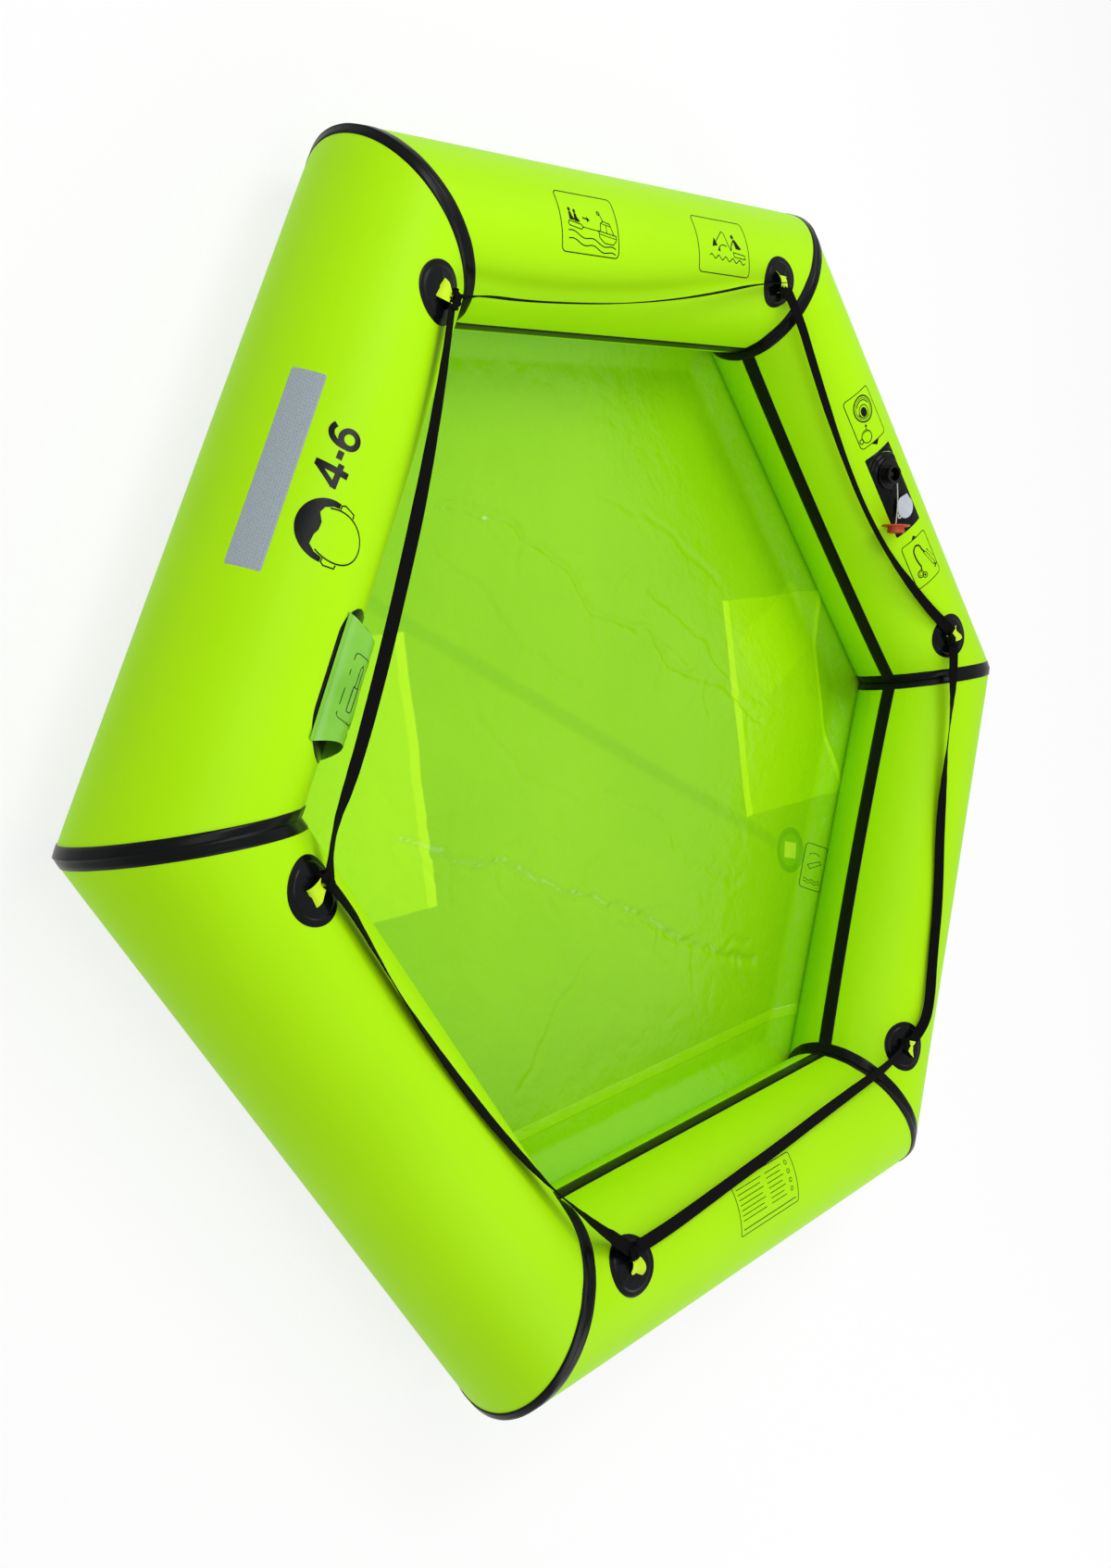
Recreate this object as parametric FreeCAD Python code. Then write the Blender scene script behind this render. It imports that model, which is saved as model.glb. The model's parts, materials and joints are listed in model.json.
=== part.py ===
import FreeCAD, Part
import math
import os
from FreeCAD import Vector

# An open six-sided inflatable liferaft for four to six persons, inflated and standing on its floor.
# One air tube of six mitred panels carries a film floor, taped seams, six lifeline patches with
# their loops and webbing, an inflation valve, a knife sleeve, ballast pockets, a righting strap
# and the gas bottle that fills it.
#
# Frame: origin on the ground under the middle of the ring, Z up, X towards corner 4.
# The sides are numbered clockwise as seen from above, and corner K is at the clockwise end of
# side K. Each side is drawn in its own local frame: x runs along the tube towards corner K,
# y points outward and z up. Round the tube, an angle of 0 faces the inside of the raft,
# 90 is the top and 180 faces outward.

# Ring of tubes
side_count = 6
side_length = 990.0
tube_radius = 144.0

# Black tapes over the mitred seams and along the inner seam
tape_thickness = 0.9
tape_overlap_step = 0.7
mitre_tape_width = 30.0
seam_tape_width = 28.0
seam_tape_angle = 3.0

# Floor film, welded low on the inner side of the tubes and lying on the ground
film_thickness = 1.0
floor_weld_angle = -48.0
floor_slope_width = 62.0
floor_lap_inset = 47.0
floor_lap_width = 16.0
floor_edge_spare = 12.0

# Ballast pockets, folded flat under the floor
pocket_thickness = 5.0
pocket_inner_reach = 442.0
pocket_outer_reach = 770.0
pocket_width = 456.0
pocket_hem_width = 14.0
pocket_hem_height = 0.8
pocket_edge_gap = 6.0

# Righting strap under the floor
righting_reach = 655.0
righting_disc_radius = 47.0
righting_disc_thickness = 1.2
righting_loop_size = 30.0
righting_loop_thickness = 1.2
righting_slot_width = 6.0
righting_slot_length = 24.0
righting_slot_offset = 5.0
righting_strap_width = 25.0
righting_strap_thickness = 1.6
righting_axis_azimuth = 30.0

# Lifeline patches, loops, knots and webbing
patch_from_corner = 129.0
patch_angle = 73.0
patch_radius = 49.0
patch_thickness = 1.2
patch_button_radius = 23.0
patch_button_thickness = 1.0
loop_width = 22.0
loop_thickness = 1.4
loop_gap = 7.0
loop_angle_span = 13.0
loop_angle_shift = 2.0
knot_angle = 67.0
knot_length = 30.0
knot_width = 26.0
knot_height = 17.0
knot_end_share = 0.6
knot_bevel_share = 0.3
rest_clearance = 0.3
webbing_width = 25.0
webbing_thickness = 1.8

# Inflation valve on side 3
valve_side = 3
valve_patch_start = -97.0
valve_patch_end = 93.0
valve_patch_low_angle = 59.0
valve_patch_high_angle = 91.5
valve_patch_thickness = 1.0
valve_x = -40.0
valve_angle = 75.5
valve_flange_radius = 31.0
valve_flange_height = 4.5
valve_neck_radius = 19.0
valve_neck_height = 19.0
valve_bore_radius = 15.0
valve_lip_width = 1.0
valve_lip_height = 1.5
valve_depth = 17.0
valve_ring_radius = 25.0
valve_ring_height = 2.0
valve_seat_bore = 9.0
valve_seat_height = 3.0
valve_spider_depth = 5.0
valve_spider_height = 3.0
valve_spider_arm = 4.0
valve_spider_arms = 3
valve_hub_radius = 6.0
valve_hole_clearance = 0.3
stem_radius = 3.0
stem_running_clearance = 0.06
stem_button_radius = 5.0
stem_button_height = 3.0
stem_top = 10.0
poppet_radius = 12.0
poppet_thickness = 3.0
poppet_seat_gap = 0.3
poppet_travel = 5.0
spring_wire = 0.8
spring_radius = 4.3
spring_turns = 5
spring_steps = 12
spring_sides = 6
spring_end_gap = 0.3
valve_well_spare = 4.0

# Cap and plug of the valve, lying beside it on their tether
cap_x = 41.3
cap_angle = 76.4
cap_radius = 24.0
cap_thickness = 2.4
cap_bevel = 1.0
cap_spigot_radius = 14.9
cap_spigot_wall = 1.6
cap_spigot_height = 5.0
cap_ear_radius = 5.5
cap_ear_hole = 2.4
cap_ear_reach = 26.0
cap_ear_heading = -73.0
cap_tab_reach = 28.5
cap_tab_half_width = 9.0
cap_tab_heading = 138.0
plug_x = 51.4
plug_angle = 57.5
plug_flange_radius = 30.0
plug_flange_thickness = 2.6
plug_body_radius = 17.5
plug_body_length = 13.5
plug_body_wall = 2.2
plug_bead = 0.8
plug_bead_start = 7.5
plug_bead_height = 2.7
plug_knob_radius = 3.5
plug_knob_height = 2.5
plug_heading = -33.5
plug_rise = 15.0
tether_radius = 1.3
tether_start_angle = 78.0
tether_start_height = 3.0
tether_bow = 3.0
tether_bow_shares = (0.33, 0.72)

# Knife sleeve on side 1
sleeve_side = 1
sleeve_patch_start = -354.0
sleeve_patch_end = -127.0
sleeve_patch_low_angle = 22.0
sleeve_patch_high_angle = 71.0
sleeve_patch_thickness = 0.9
sleeve_start = -338.0
sleeve_end = -150.0
sleeve_low_angle = 26.0
sleeve_high_angle = 64.5
sleeve_bulge = 27.0
sleeve_wall = 1.1
sleeve_hem = 9.0
sleeve_rim = 3.15
sleeve_end_hollow = 16.0
sleeve_cut_depth = 60.0

# Reflective tape on the outside of side 1
reflector_side = 1
reflector_start = -157.0
reflector_end = 149.0
reflector_low_angle = 126.3
reflector_high_angle = 146.3
reflector_thickness = 0.4

# Gas bottle with its head, held low on the outside of side 5
bottle_side = 5
bottle_radius = 40.0
bottle_length = 290.0
bottle_base_radius = 15.0
bottle_neck_radius = 12.0
bottle_neck_length = 14.0
bottle_ground_gap = 6.0
bottle_x = -20.0
cradle_thickness = 1.2
cradle_half_length = 120.0
cradle_half_angle = 24.0
sling_width = 30.0
sling_thickness = 1.5
sling_spacing = 150.0
sling_spread_angle = 19.0
sling_leg_thickness = 2.4
head_radius = 17.0
head_length = 44.0
head_nut_width = 30.0
head_nut_height = 10.0
head_cap_radius = 11.0
head_cap_length = 9.0
inlet_patch_radius = 36.0
inlet_patch_thickness = 1.2
inlet_flange_radius = 20.0
inlet_flange_height = 2.5
inlet_boss_radius = 12.0
inlet_height = 9.0
pipe_radius = 7.0

# The webbing hangs between the knots. Each route is a list of chosen points:
# the distance along the line between the knots, how far it bows towards the inside,
# and its height above the ground.
webbing_routes = {
    6: [(6, 6, 287), (60, -2, 281), (150, 14, 279), (282, 25, 275), (418, 30, 273), (566, 29, 275),
        (700, 19, 281), (800, 7, 287), (870, -4, 291)],
    1: [(6, -6, 293), (62, -7, 289), (150, 1, 281), (268, 7, 279), (396, 11, 282), (538, 8, 290),
        (670, -2, 299), (782, -15, 302), (869, -16, 301)],
    2: [(6, -17, 289), (66, -16, 288), (150, -2, 281), (252, 14, 274), (372, 30, 268), (492, 40, 265),
        (622, 37, 268), (748, 17, 278), (812, 3, 284), (869, -13, 292)],
    3: [(6, -14, 289), (62, -23, 291), (150, -31, 292), (264, -36, 289), (404, -43, 288),
        (560, -58, 295), (690, -57, 298), (790, -56, 303), (838, -40, 301), (870, -15, 293)],
    4: [(6, -3, 289), (62, -13, 291), (158, -12, 289), (310, -10, 288), (456, -10, 288), (604, -6, 289),
        (738, -3, 290), (812, 0, 290), (869, 5, 290)],
    5: [(6, 2, 288), (60, -9, 284), (122, -19, 281), (222, -30, 278), (356, -37, 278), (500, -36, 282),
        (640, -27, 287), (762, -8, 288), (826, 2, 289), (868, 2, 288)],
}
# The distance between two hitches that the routes are written for, and stretch with
webbing_span = 876.8
# How far each length of webbing is rolled about its own line, with its inner edge up
webbing_roll = {6: -8.0, 1: 78.0, 2: 4.0, 3: -18.0, 4: 6.0, 5: -42.0}

# Values that follow from the sizes above
corner_angle = 360.0 / side_count
half_corner = math.radians(corner_angle / 2)
apothem = side_length / 2 / math.tan(half_corner)
upper_tape = tape_thickness + tape_overlap_step
axis_height = tube_radius + upper_tape
reach = apothem + 2 * tube_radius
half_mitre_tape = mitre_tape_width / 2
first_azimuth = 210.0


def side_azimuth(side):
    return first_azimuth - corner_angle * (side - 1)


def next_side(side):
    return side % side_count + 1


def to_side(shape, side):
    """Turn a shape from the local frame of a side into the frame of the raft."""
    turned = shape.copy()
    turned.rotate(Vector(0, 0, 0), Vector(0, 0, 1), side_azimuth(side) - 90)
    return turned


def point_to_side(point, side):
    turn = FreeCAD.Rotation(Vector(0, 0, 1), side_azimuth(side) - 90)
    return turn.multVec(point)


def radial(angle):
    """Direction away from the tube's axis, in the local frame of a side."""
    return Vector(0, -math.cos(math.radians(angle)), math.sin(math.radians(angle)))


def tube_point(x, angle, distance):
    return Vector(x, apothem, axis_height) + radial(angle) * distance


def arc_edge(x, distance, start, end):
    middle = (start + end) / 2
    return Part.Arc(
        tube_point(x, start, distance), tube_point(x, middle, distance), tube_point(x, end, distance)
    ).toShape()


def tube_strip(inner, outer, low_angle, high_angle, start, end):
    """A curved plate that lies round the tube between two angles and two places along it."""
    wire = Part.Wire([
        arc_edge(start, inner, low_angle, high_angle),
        Part.LineSegment(tube_point(start, high_angle, inner), tube_point(start, high_angle, outer)).toShape(),
        arc_edge(start, outer, high_angle, low_angle),
        Part.LineSegment(tube_point(start, low_angle, outer), tube_point(start, low_angle, inner)).toShape(),
    ])
    return Part.Face(wire).extrude(Vector(end - start, 0, 0))


def tube_round(radius):
    base = Vector(-side_length, apothem, axis_height)
    return Part.makeCylinder(radius, 2 * side_length, base, Vector(1, 0, 0))


def flat_prism(corners, low, high):
    points = [Vector(x, y, low) for x, y in corners]
    face = Part.Face(Part.makePolygon(points + [points[0]]))
    return face.extrude(Vector(0, 0, high - low))


def mitre_wedge(inset):
    """The room between the two mitre planes of a side, each moved inward by the inset."""
    slope = math.tan(half_corner)
    shift = inset / math.cos(half_corner)
    apex = shift / slope
    edge = reach * slope - shift
    return flat_prism([(0, apex), (edge, reach), (-edge, reach)], -tube_radius, 3 * tube_radius)


def mitre_band(width, end):
    """The room within a width of the mitre plane, at the clockwise end (1) or the other (-1)."""
    slope = math.tan(half_corner)
    shift = width / math.cos(half_corner)
    near = apothem - 1.5 * tube_radius
    corners = [
        (end * near * slope, near),
        (end * reach * slope, reach),
        (end * (reach * slope - shift), reach),
        (end * (near * slope - shift), near),
    ]
    return flat_prism(corners, -tube_radius, 3 * tube_radius)


def radial_post(x, angle, radius, start, end):
    return Part.makeCylinder(radius, end - start, tube_point(x, angle, start), radial(angle))


def tube_disc(x, angle, radius, inner, outer):
    """A round patch that follows the tube."""
    half_angle = math.degrees(math.asin(radius / inner)) + 2
    strip = tube_strip(inner, outer, angle - half_angle, angle + half_angle, x - radius - 2, x + radius + 2)
    return strip.common(radial_post(x, angle, radius, inner - radius, outer + radius))


def hexagon(distance):
    """Corners of the ring of straight lines that lie at a distance from the middle."""
    radius = distance / math.cos(half_corner)
    return [
        (radius * math.cos(math.radians(corner_angle * n)), radius * math.sin(math.radians(corner_angle * n)))
        for n in range(side_count)
    ]


def save(name, shape):
    shape.exportStep("parts/" + name + ".step")


def make_tube_panels():
    panels = {}
    for side in range(1, side_count + 1):
        panel = tube_round(tube_radius).common(mitre_wedge(0))
        if side == valve_side:
            depth = valve_depth + poppet_thickness + poppet_travel + valve_well_spare
            well = radial_post(valve_x, valve_angle, valve_neck_radius + valve_hole_clearance,
                               tube_radius - depth, tube_radius + 10)
            panel = panel.cut(well)
        panels[side] = to_side(panel, side)
    return panels


def make_mitre_tape(side):
    lower = tube_round(tube_radius + tape_thickness).cut(tube_round(tube_radius))
    lower = lower.common(mitre_band(half_mitre_tape, 1))
    upper = tube_round(tube_radius + upper_tape).cut(tube_round(tube_radius))
    upper = upper.common(mitre_band(half_mitre_tape, -1))
    return to_side(lower, side).fuse(to_side(upper, next_side(side)))


def make_seam_tape(side):
    half_angle = math.degrees(seam_tape_width / 2 / tube_radius)
    strip = tube_strip(tube_radius, tube_radius + tape_thickness, seam_tape_angle - half_angle,
                       seam_tape_angle + half_angle, -side_length, side_length)
    return to_side(strip.common(mitre_wedge(half_mitre_tape)), side)


def make_floor(panels, tapes):
    """The floor film in two pieces: the wide sheet and the end piece lapped over it."""
    weld_distance = apothem - tube_radius * math.cos(math.radians(floor_weld_angle))
    weld_height = axis_height + tube_radius * math.sin(math.radians(floor_weld_angle))
    flat_distance = weld_distance - floor_slope_width
    slope = (weld_height - pocket_thickness) / floor_slope_width

    def dish(bottom):
        low = [Vector(x, y, bottom) for x, y in hexagon(flat_distance)]
        high = [Vector(x, y, bottom + slope * (floor_slope_width + floor_edge_spare))
                for x, y in hexagon(weld_distance + floor_edge_spare)]
        loop_low = Part.makePolygon(low + [low[0]])
        loop_high = Part.makePolygon(high + [high[0]])
        return Part.makeLoft([loop_low, loop_high], True, True)

    sheet = dish(pocket_thickness).cut(dish(pocket_thickness + film_thickness))
    for side in range(1, side_count + 1):
        sheet = sheet.cut(panels[side]).cut(tapes[side])
    seam = flat_distance - floor_lap_inset + floor_lap_width / 2
    far_room = Part.makeBox(side_length, 2 * side_length, tube_radius, Vector(seam, -side_length, 0))
    far_room.rotate(Vector(0, 0, 0), Vector(0, 0, 1), side_azimuth(bottle_side))
    main = largest_solid(sheet.cut(far_room))
    end = largest_solid(sheet.common(far_room))
    lap_top = pocket_thickness + 2 * film_thickness
    lap_room = Part.makeBox(2 * floor_lap_width, 2 * side_length, film_thickness,
                            Vector(seam - floor_lap_width, -side_length, lap_top - film_thickness))
    lap_room.rotate(Vector(0, 0, 0), Vector(0, 0, 1), side_azimuth(bottle_side))
    lap = flat_prism(hexagon(flat_distance - film_thickness), lap_top - film_thickness, lap_top)
    end = end.fuse(lap_room.common(lap)).removeSplitter()
    return main, end, flat_distance


def largest_solid(shape):
    return max(shape.Solids, key=lambda solid: solid.Volume)


def make_ballast_pocket(corner, flat_distance):
    """A flat folded bag with a raised hem round its open side, pointing at a corner."""
    azimuth = first_azimuth - corner_angle * (corner - 1) - corner_angle / 2
    half = pocket_width / 2
    hem = pocket_hem_width

    def block(start, end, half_width, low, high):
        box = Part.makeBox(end - start, 2 * half_width, high - low, Vector(start, -half_width, low))
        box.rotate(Vector(0, 0, 0), Vector(0, 0, 1), azimuth)
        return box

    room = flat_prism(hexagon(flat_distance - pocket_edge_gap), 0, pocket_thickness)
    low = pocket_hem_height
    bag = block(pocket_inner_reach, pocket_outer_reach, half, low, pocket_thickness).common(room)
    rim = block(pocket_inner_reach, pocket_inner_reach + hem, half, 0, low)
    left = block(pocket_inner_reach, pocket_outer_reach, half, 0, low).common(room)
    inner = block(pocket_inner_reach, pocket_outer_reach, half - hem, 0, low)
    return bag.fuse(rim).fuse(left.cut(inner)).removeSplitter()


def make_righting_gear():
    """Two discs under the film, a flat loop on each, and the strap that joins the loops."""
    azimuth = righting_axis_azimuth
    discs = []
    loops = []
    disc_low = pocket_thickness - righting_disc_thickness
    loop_low = disc_low - righting_loop_thickness
    strap_low = loop_low - righting_strap_thickness
    half = righting_loop_size / 2
    for end in (-1, 1):
        disc = Part.makeCylinder(righting_disc_radius, righting_disc_thickness,
                                 Vector(end * righting_reach, 0, disc_low))
        discs.append(disc)
        loop = Part.makeBox(righting_loop_size, righting_loop_size, righting_loop_thickness,
                            Vector(end * righting_reach - half, -half, loop_low))
        slot_middle = end * (righting_reach - righting_slot_offset)
        slot = Part.makeBox(righting_slot_width, righting_slot_length, righting_loop_thickness,
                            Vector(slot_middle - righting_slot_width / 2, -righting_slot_length / 2, loop_low))
        loops.append(loop.cut(slot))
    strap_length = 2 * righting_reach + righting_loop_size / 2
    strap = Part.makeBox(strap_length, righting_strap_width, righting_strap_thickness,
                         Vector(-strap_length / 2, -righting_strap_width / 2, strap_low))
    pieces = [Part.makeCompound(discs), Part.makeCompound(loops), strap]
    for piece in pieces:
        piece.rotate(Vector(0, 0, 0), Vector(0, 0, 1), azimuth)
    return pieces


def patch_x():
    return side_length / 2 - patch_from_corner


def knot_distance():
    return tube_radius + patch_thickness + patch_button_thickness + rest_clearance + knot_height / 2


def knot_centre(side):
    return point_to_side(tube_point(patch_x(), knot_angle, knot_distance()), side)


def make_patch(side):
    disc = tube_disc(patch_x(), patch_angle, patch_radius, tube_radius, tube_radius + patch_thickness)
    button = tube_disc(patch_x(), patch_angle, patch_button_radius, tube_radius + patch_thickness,
                       tube_radius + patch_thickness + patch_button_thickness)
    return to_side(disc.fuse(button), side)


def loop_bounds():
    """Angles of the loop's two feet, a little nearer the inside than the middle of the patch."""
    middle = patch_angle - loop_angle_shift
    return middle - loop_angle_span / 2, middle + loop_angle_span / 2


def make_loop(side):
    """A folded strip that stands on the button, with its opening facing along the tube."""
    base = tube_radius + patch_thickness + patch_button_thickness
    low, high = loop_bounds()
    start = patch_x() - loop_width / 2
    end = patch_x() + loop_width / 2
    outer = tube_strip(base, base + loop_gap + 2 * loop_thickness, low, high, start, end)
    rim = math.degrees(loop_thickness / base)
    inner = tube_strip(base + loop_thickness, base + loop_thickness + loop_gap, low + rim, high - rim,
                       start, end)
    return to_side(outer.cut(inner), side)


def make_knot(side):
    """The hitch of the webbing: a bevelled lump drawn through the loop and down over its foot."""
    half_width = knot_width / 2
    half_height = knot_height / 2
    side_cut = half_width * (1 - knot_bevel_share)
    top_cut = half_height * (1 - knot_bevel_share)
    outline = [
        (half_width, top_cut), (side_cut, half_height), (-side_cut, half_height), (-half_width, top_cut),
        (-half_width, -top_cut), (-side_cut, -half_height), (side_cut, -half_height), (half_width, -top_cut),
    ]
    stations = [(-0.5, knot_end_share), (-0.3, 1.0), (0.3, 1.0), (0.5, knot_end_share)]
    sections = []
    for place, size in stations:
        corners = [Vector(place * knot_length, y * size, z * size) for y, z in outline]
        sections.append(Part.makePolygon(corners + [corners[0]]))
    lump = Part.makeLoft(sections, True, True)
    return to_side(place_on_tube(lump, patch_x(), knot_angle, knot_distance()), side)


def route_points(side):
    """The chosen route of one length of webbing, as points in the frame of the raft."""
    start = knot_centre(side)
    end = knot_centre(next_side(side))
    along = end - start
    along.z = 0
    stretch = along.Length / webbing_span
    along.normalize()
    inward = (start + end) * -0.5
    inward.z = 0
    inward = (inward - along * inward.dot(along)).normalize()
    points = []
    for distance, bow, height in webbing_routes[side]:
        point = start + along * (distance * stretch) + inward * bow
        point.z = height
        points.append(point)
    return points


def route_wire(points, name):
    """Straight runs joined by arcs that touch both runs, as large as the runs allow."""
    share = 0.45
    edges = []
    radii = []
    here = points[0]
    for before, corner, after in zip(points, points[1:], points[2:]):
        arriving = corner - before
        leaving = after - corner
        setback = share * min(arriving.Length, leaving.Length)
        arriving.normalize()
        leaving.normalize()
        half_turn = arriving.getAngle(leaving) / 2
        radius = setback / math.tan(half_turn)
        first = corner - arriving * setback
        last = corner + leaving * setback
        bisector = (leaving - arriving).normalize()
        middle = corner + bisector * (radius / math.cos(half_turn) - radius)
        edges.append(Part.LineSegment(here, first).toShape())
        edges.append(Part.Arc(first, middle, last).toShape())
        radii.append(round(radius))
        here = last
    edges.append(Part.LineSegment(here, points[-1]).toShape())
    wire = Part.Wire(edges)
    print(name, "length", round(wire.Length, 1), "radii", radii)
    return wire


def make_webbing(side):
    """One length of flat webbing between two knots."""
    points = route_points(side)
    wire = route_wire(points, "webbing " + str(side))
    along = (points[1] - points[0]).normalize()
    inward = Vector(0, 0, 1).cross(along).normalize() * -1
    roll = math.radians(webbing_roll[side])
    across = inward * math.cos(roll) + Vector(0, 0, 1) * math.sin(roll)
    across = (across - along * across.dot(along)).normalize()
    face_up = along.cross(across)
    half = across * (webbing_width / 2)
    thick = face_up * (webbing_thickness / 2)
    corners = [points[0] + half + thick, points[0] - half + thick,
               points[0] - half - thick, points[0] + half - thick]
    sweep = Part.BRepOffsetAPI.MakePipeShell(wire)
    sweep.setFrenetMode(False)
    sweep.add(Part.makePolygon(corners + [corners[0]]), False, False)
    sweep.build()
    sweep.makeSolid()
    strap = sweep.shape()
    print("  volume over section times length", round(strap.Volume / wire.Length
                                                      / webbing_width / webbing_thickness, 4))
    return strap


def place_on_tube(shape, x, angle, distance, heading=0.0):
    """Stand a shape drawn about Z on the tube, turned about its own axis by the heading."""
    stand = FreeCAD.Rotation(Vector(1, 0, 0), 90 - angle)
    spin = FreeCAD.Rotation(Vector(0, 0, 1), heading)
    placed = shape.copy()
    placed.Placement = FreeCAD.Placement(tube_point(x, angle, distance), stand.multiply(spin))
    return placed


def ring(outer, inner, low, high):
    return Part.makeCylinder(outer, high - low, Vector(0, 0, low)).cut(
        Part.makeCylinder(inner, high - low, Vector(0, 0, low)))


def make_coil(low, high):
    """A round coil of six-sided wire, lofted through sections set evenly along it."""
    count = spring_turns * spring_steps
    sections = []
    for step in range(count + 1):
        turn = math.radians(360.0 * step / spring_steps)
        height = low + (high - low) * step / count
        outward = Vector(math.cos(turn), math.sin(turn), 0)
        corners = []
        for n in range(spring_sides):
            spin = math.radians(360.0 * n / spring_sides)
            corners.append(outward * (spring_radius + spring_wire / 2 * math.cos(spin))
                           + Vector(0, 0, height + spring_wire / 2 * math.sin(spin)))
        sections.append(Part.makePolygon(corners + [corners[0]]))
    return Part.makeLoft(sections, True, True)


def make_valve():
    """Body, poppet and spring, drawn about Z with the tube's skin at zero."""
    skin = tube_round(tube_radius + valve_patch_thickness)
    flange = ring(valve_flange_radius, valve_neck_radius, -valve_flange_height, valve_flange_height)
    collar = ring(valve_ring_radius, valve_neck_radius, 0, valve_flange_height + valve_ring_height)
    rim = flange.fuse(collar)
    neck = ring(valve_neck_radius, valve_bore_radius, -valve_depth, valve_neck_height)
    wall_middle = (valve_neck_radius + valve_bore_radius) / 2
    lip = ring(wall_middle, valve_bore_radius - valve_lip_width, valve_neck_height - valve_lip_height,
               valve_neck_height)
    seat = ring(wall_middle, valve_seat_bore, -valve_depth, -valve_depth + valve_seat_height)
    spider_low = -valve_spider_depth - valve_spider_height
    hub = ring(valve_hub_radius, stem_radius + stem_running_clearance, spider_low, -valve_spider_depth)
    body = neck.fuse(lip).fuse(seat).fuse(hub)
    arm_start = (valve_hub_radius + stem_radius + stem_running_clearance) / 2
    for turn in range(valve_spider_arms):
        arm = Part.makeBox(wall_middle - arm_start, valve_spider_arm, valve_spider_height,
                           Vector(arm_start, -valve_spider_arm / 2, spider_low))
        arm.rotate(Vector(0, 0, 0), Vector(0, 0, 1), 360.0 / valve_spider_arms * turn)
        body = body.fuse(arm)
    rim = place_on_tube(rim, valve_x, valve_angle, tube_radius).cut(skin)
    body = place_on_tube(body, valve_x, valve_angle, tube_radius).fuse(rim).removeSplitter()

    plate_top = -valve_depth - poppet_seat_gap
    plate = Part.makeCone(poppet_radius, poppet_radius - 1, poppet_thickness,
                          Vector(0, 0, plate_top), Vector(0, 0, -1))
    stem = Part.makeCylinder(stem_radius, stem_top - plate_top + 0.5, Vector(0, 0, plate_top - 0.5))
    button = Part.makeCylinder(stem_button_radius, stem_button_height,
                               Vector(0, 0, stem_top - stem_button_height))
    poppet = place_on_tube(plate.fuse(stem).fuse(button), valve_x, valve_angle, tube_radius)

    low = -valve_spider_depth + spring_wire / 2 + spring_end_gap
    high = stem_top - stem_button_height - spring_wire / 2 - spring_end_gap
    spring = place_on_tube(make_coil(low, high), valve_x, valve_angle, tube_radius)
    return body, poppet, spring


def make_valve_patch():
    patch = tube_strip(tube_radius, tube_radius + valve_patch_thickness, valve_patch_low_angle,
                       valve_patch_high_angle, valve_patch_start, valve_patch_end)
    hole = radial_post(valve_x, valve_angle, valve_neck_radius + valve_hole_clearance,
                       tube_radius - 10, tube_radius + 10)
    return patch.cut(hole)


def make_cap():
    """The push-in cap, resting on its spigot: a flat lid with a pull tab and a pierced ear."""
    low = cap_spigot_height
    bevel_low = low + cap_thickness - cap_bevel
    lid = Part.makeCylinder(cap_radius, cap_thickness - cap_bevel, Vector(0, 0, low))
    crown = Part.makeCone(cap_radius, cap_radius - 2 * cap_bevel, cap_bevel, Vector(0, 0, bevel_low))
    spigot = ring(cap_spigot_radius, cap_spigot_radius - cap_spigot_wall, 0, low)
    ear = Part.makeCylinder(cap_ear_radius, cap_thickness - cap_bevel, Vector(cap_ear_reach, 0, low))
    hole = Part.makeCylinder(cap_ear_hole, cap_thickness, Vector(cap_ear_reach, 0, low))
    base = math.sqrt(cap_radius ** 2 - cap_tab_half_width ** 2)
    tab = flat_prism([(cap_tab_reach, 0), (base, cap_tab_half_width), (base, -cap_tab_half_width)], low, bevel_low)
    tab.rotate(Vector(0, 0, 0), Vector(0, 0, 1), cap_tab_heading - cap_ear_heading)
    cap = lid.fuse(crown).fuse(spigot).fuse(ear).fuse(tab).cut(hole).removeSplitter()
    rest = tube_radius + valve_patch_thickness + rest_clearance
    return place_on_tube(cap, cap_x, cap_angle, rest, cap_ear_heading)


def plug_placement():
    """The plug stands on the rim of its flange, held by its tether, with its body raised."""
    rest = plug_flange_radius * math.cos(math.radians(plug_rise))
    stand = FreeCAD.Rotation(Vector(1, 0, 0), 90 - plug_angle)
    spin = FreeCAD.Rotation(Vector(0, 0, 1), plug_heading)
    lie = FreeCAD.Rotation(Vector(0, 1, 0), 90 - plug_rise)
    turn = stand.multiply(spin).multiply(lie)
    distance = tube_radius + rest_clearance + rest
    return FreeCAD.Placement(tube_point(plug_x, plug_angle, distance), turn)


def make_plug():
    """The stopper, drawn about Z with its body on the far side of the flange."""
    body_top = plug_flange_thickness + plug_body_length
    bead_low = plug_flange_thickness + plug_bead_start
    bead_high = bead_low + plug_bead_height
    flange = Part.makeCylinder(plug_flange_radius, plug_flange_thickness)
    body = ring(plug_body_radius, plug_body_radius - plug_body_wall, plug_flange_thickness, body_top)
    bead = ring(plug_body_radius + plug_bead, plug_body_radius - plug_bead, bead_low, bead_high)
    knob = Part.makeCylinder(plug_knob_radius, plug_knob_height, Vector(0, 0, -plug_knob_height))
    plug = flange.fuse(body).fuse(bead).fuse(knob)
    plug.Placement = plug_placement()
    return plug


def tether_route():
    """From the top of the valve's flange to the knob of the plug, almost straight."""
    foot = valve_flange_height + tether_start_height
    start = tube_point(valve_x + valve_ring_radius + tether_radius, tether_start_angle, tube_radius + foot)
    end = plug_placement().multVec(Vector(0, 0, -plug_knob_height))
    lift = radial(tether_start_angle) * tether_bow
    return [start] + [start + (end - start) * share + lift for share in tether_bow_shares] + [end]


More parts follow.
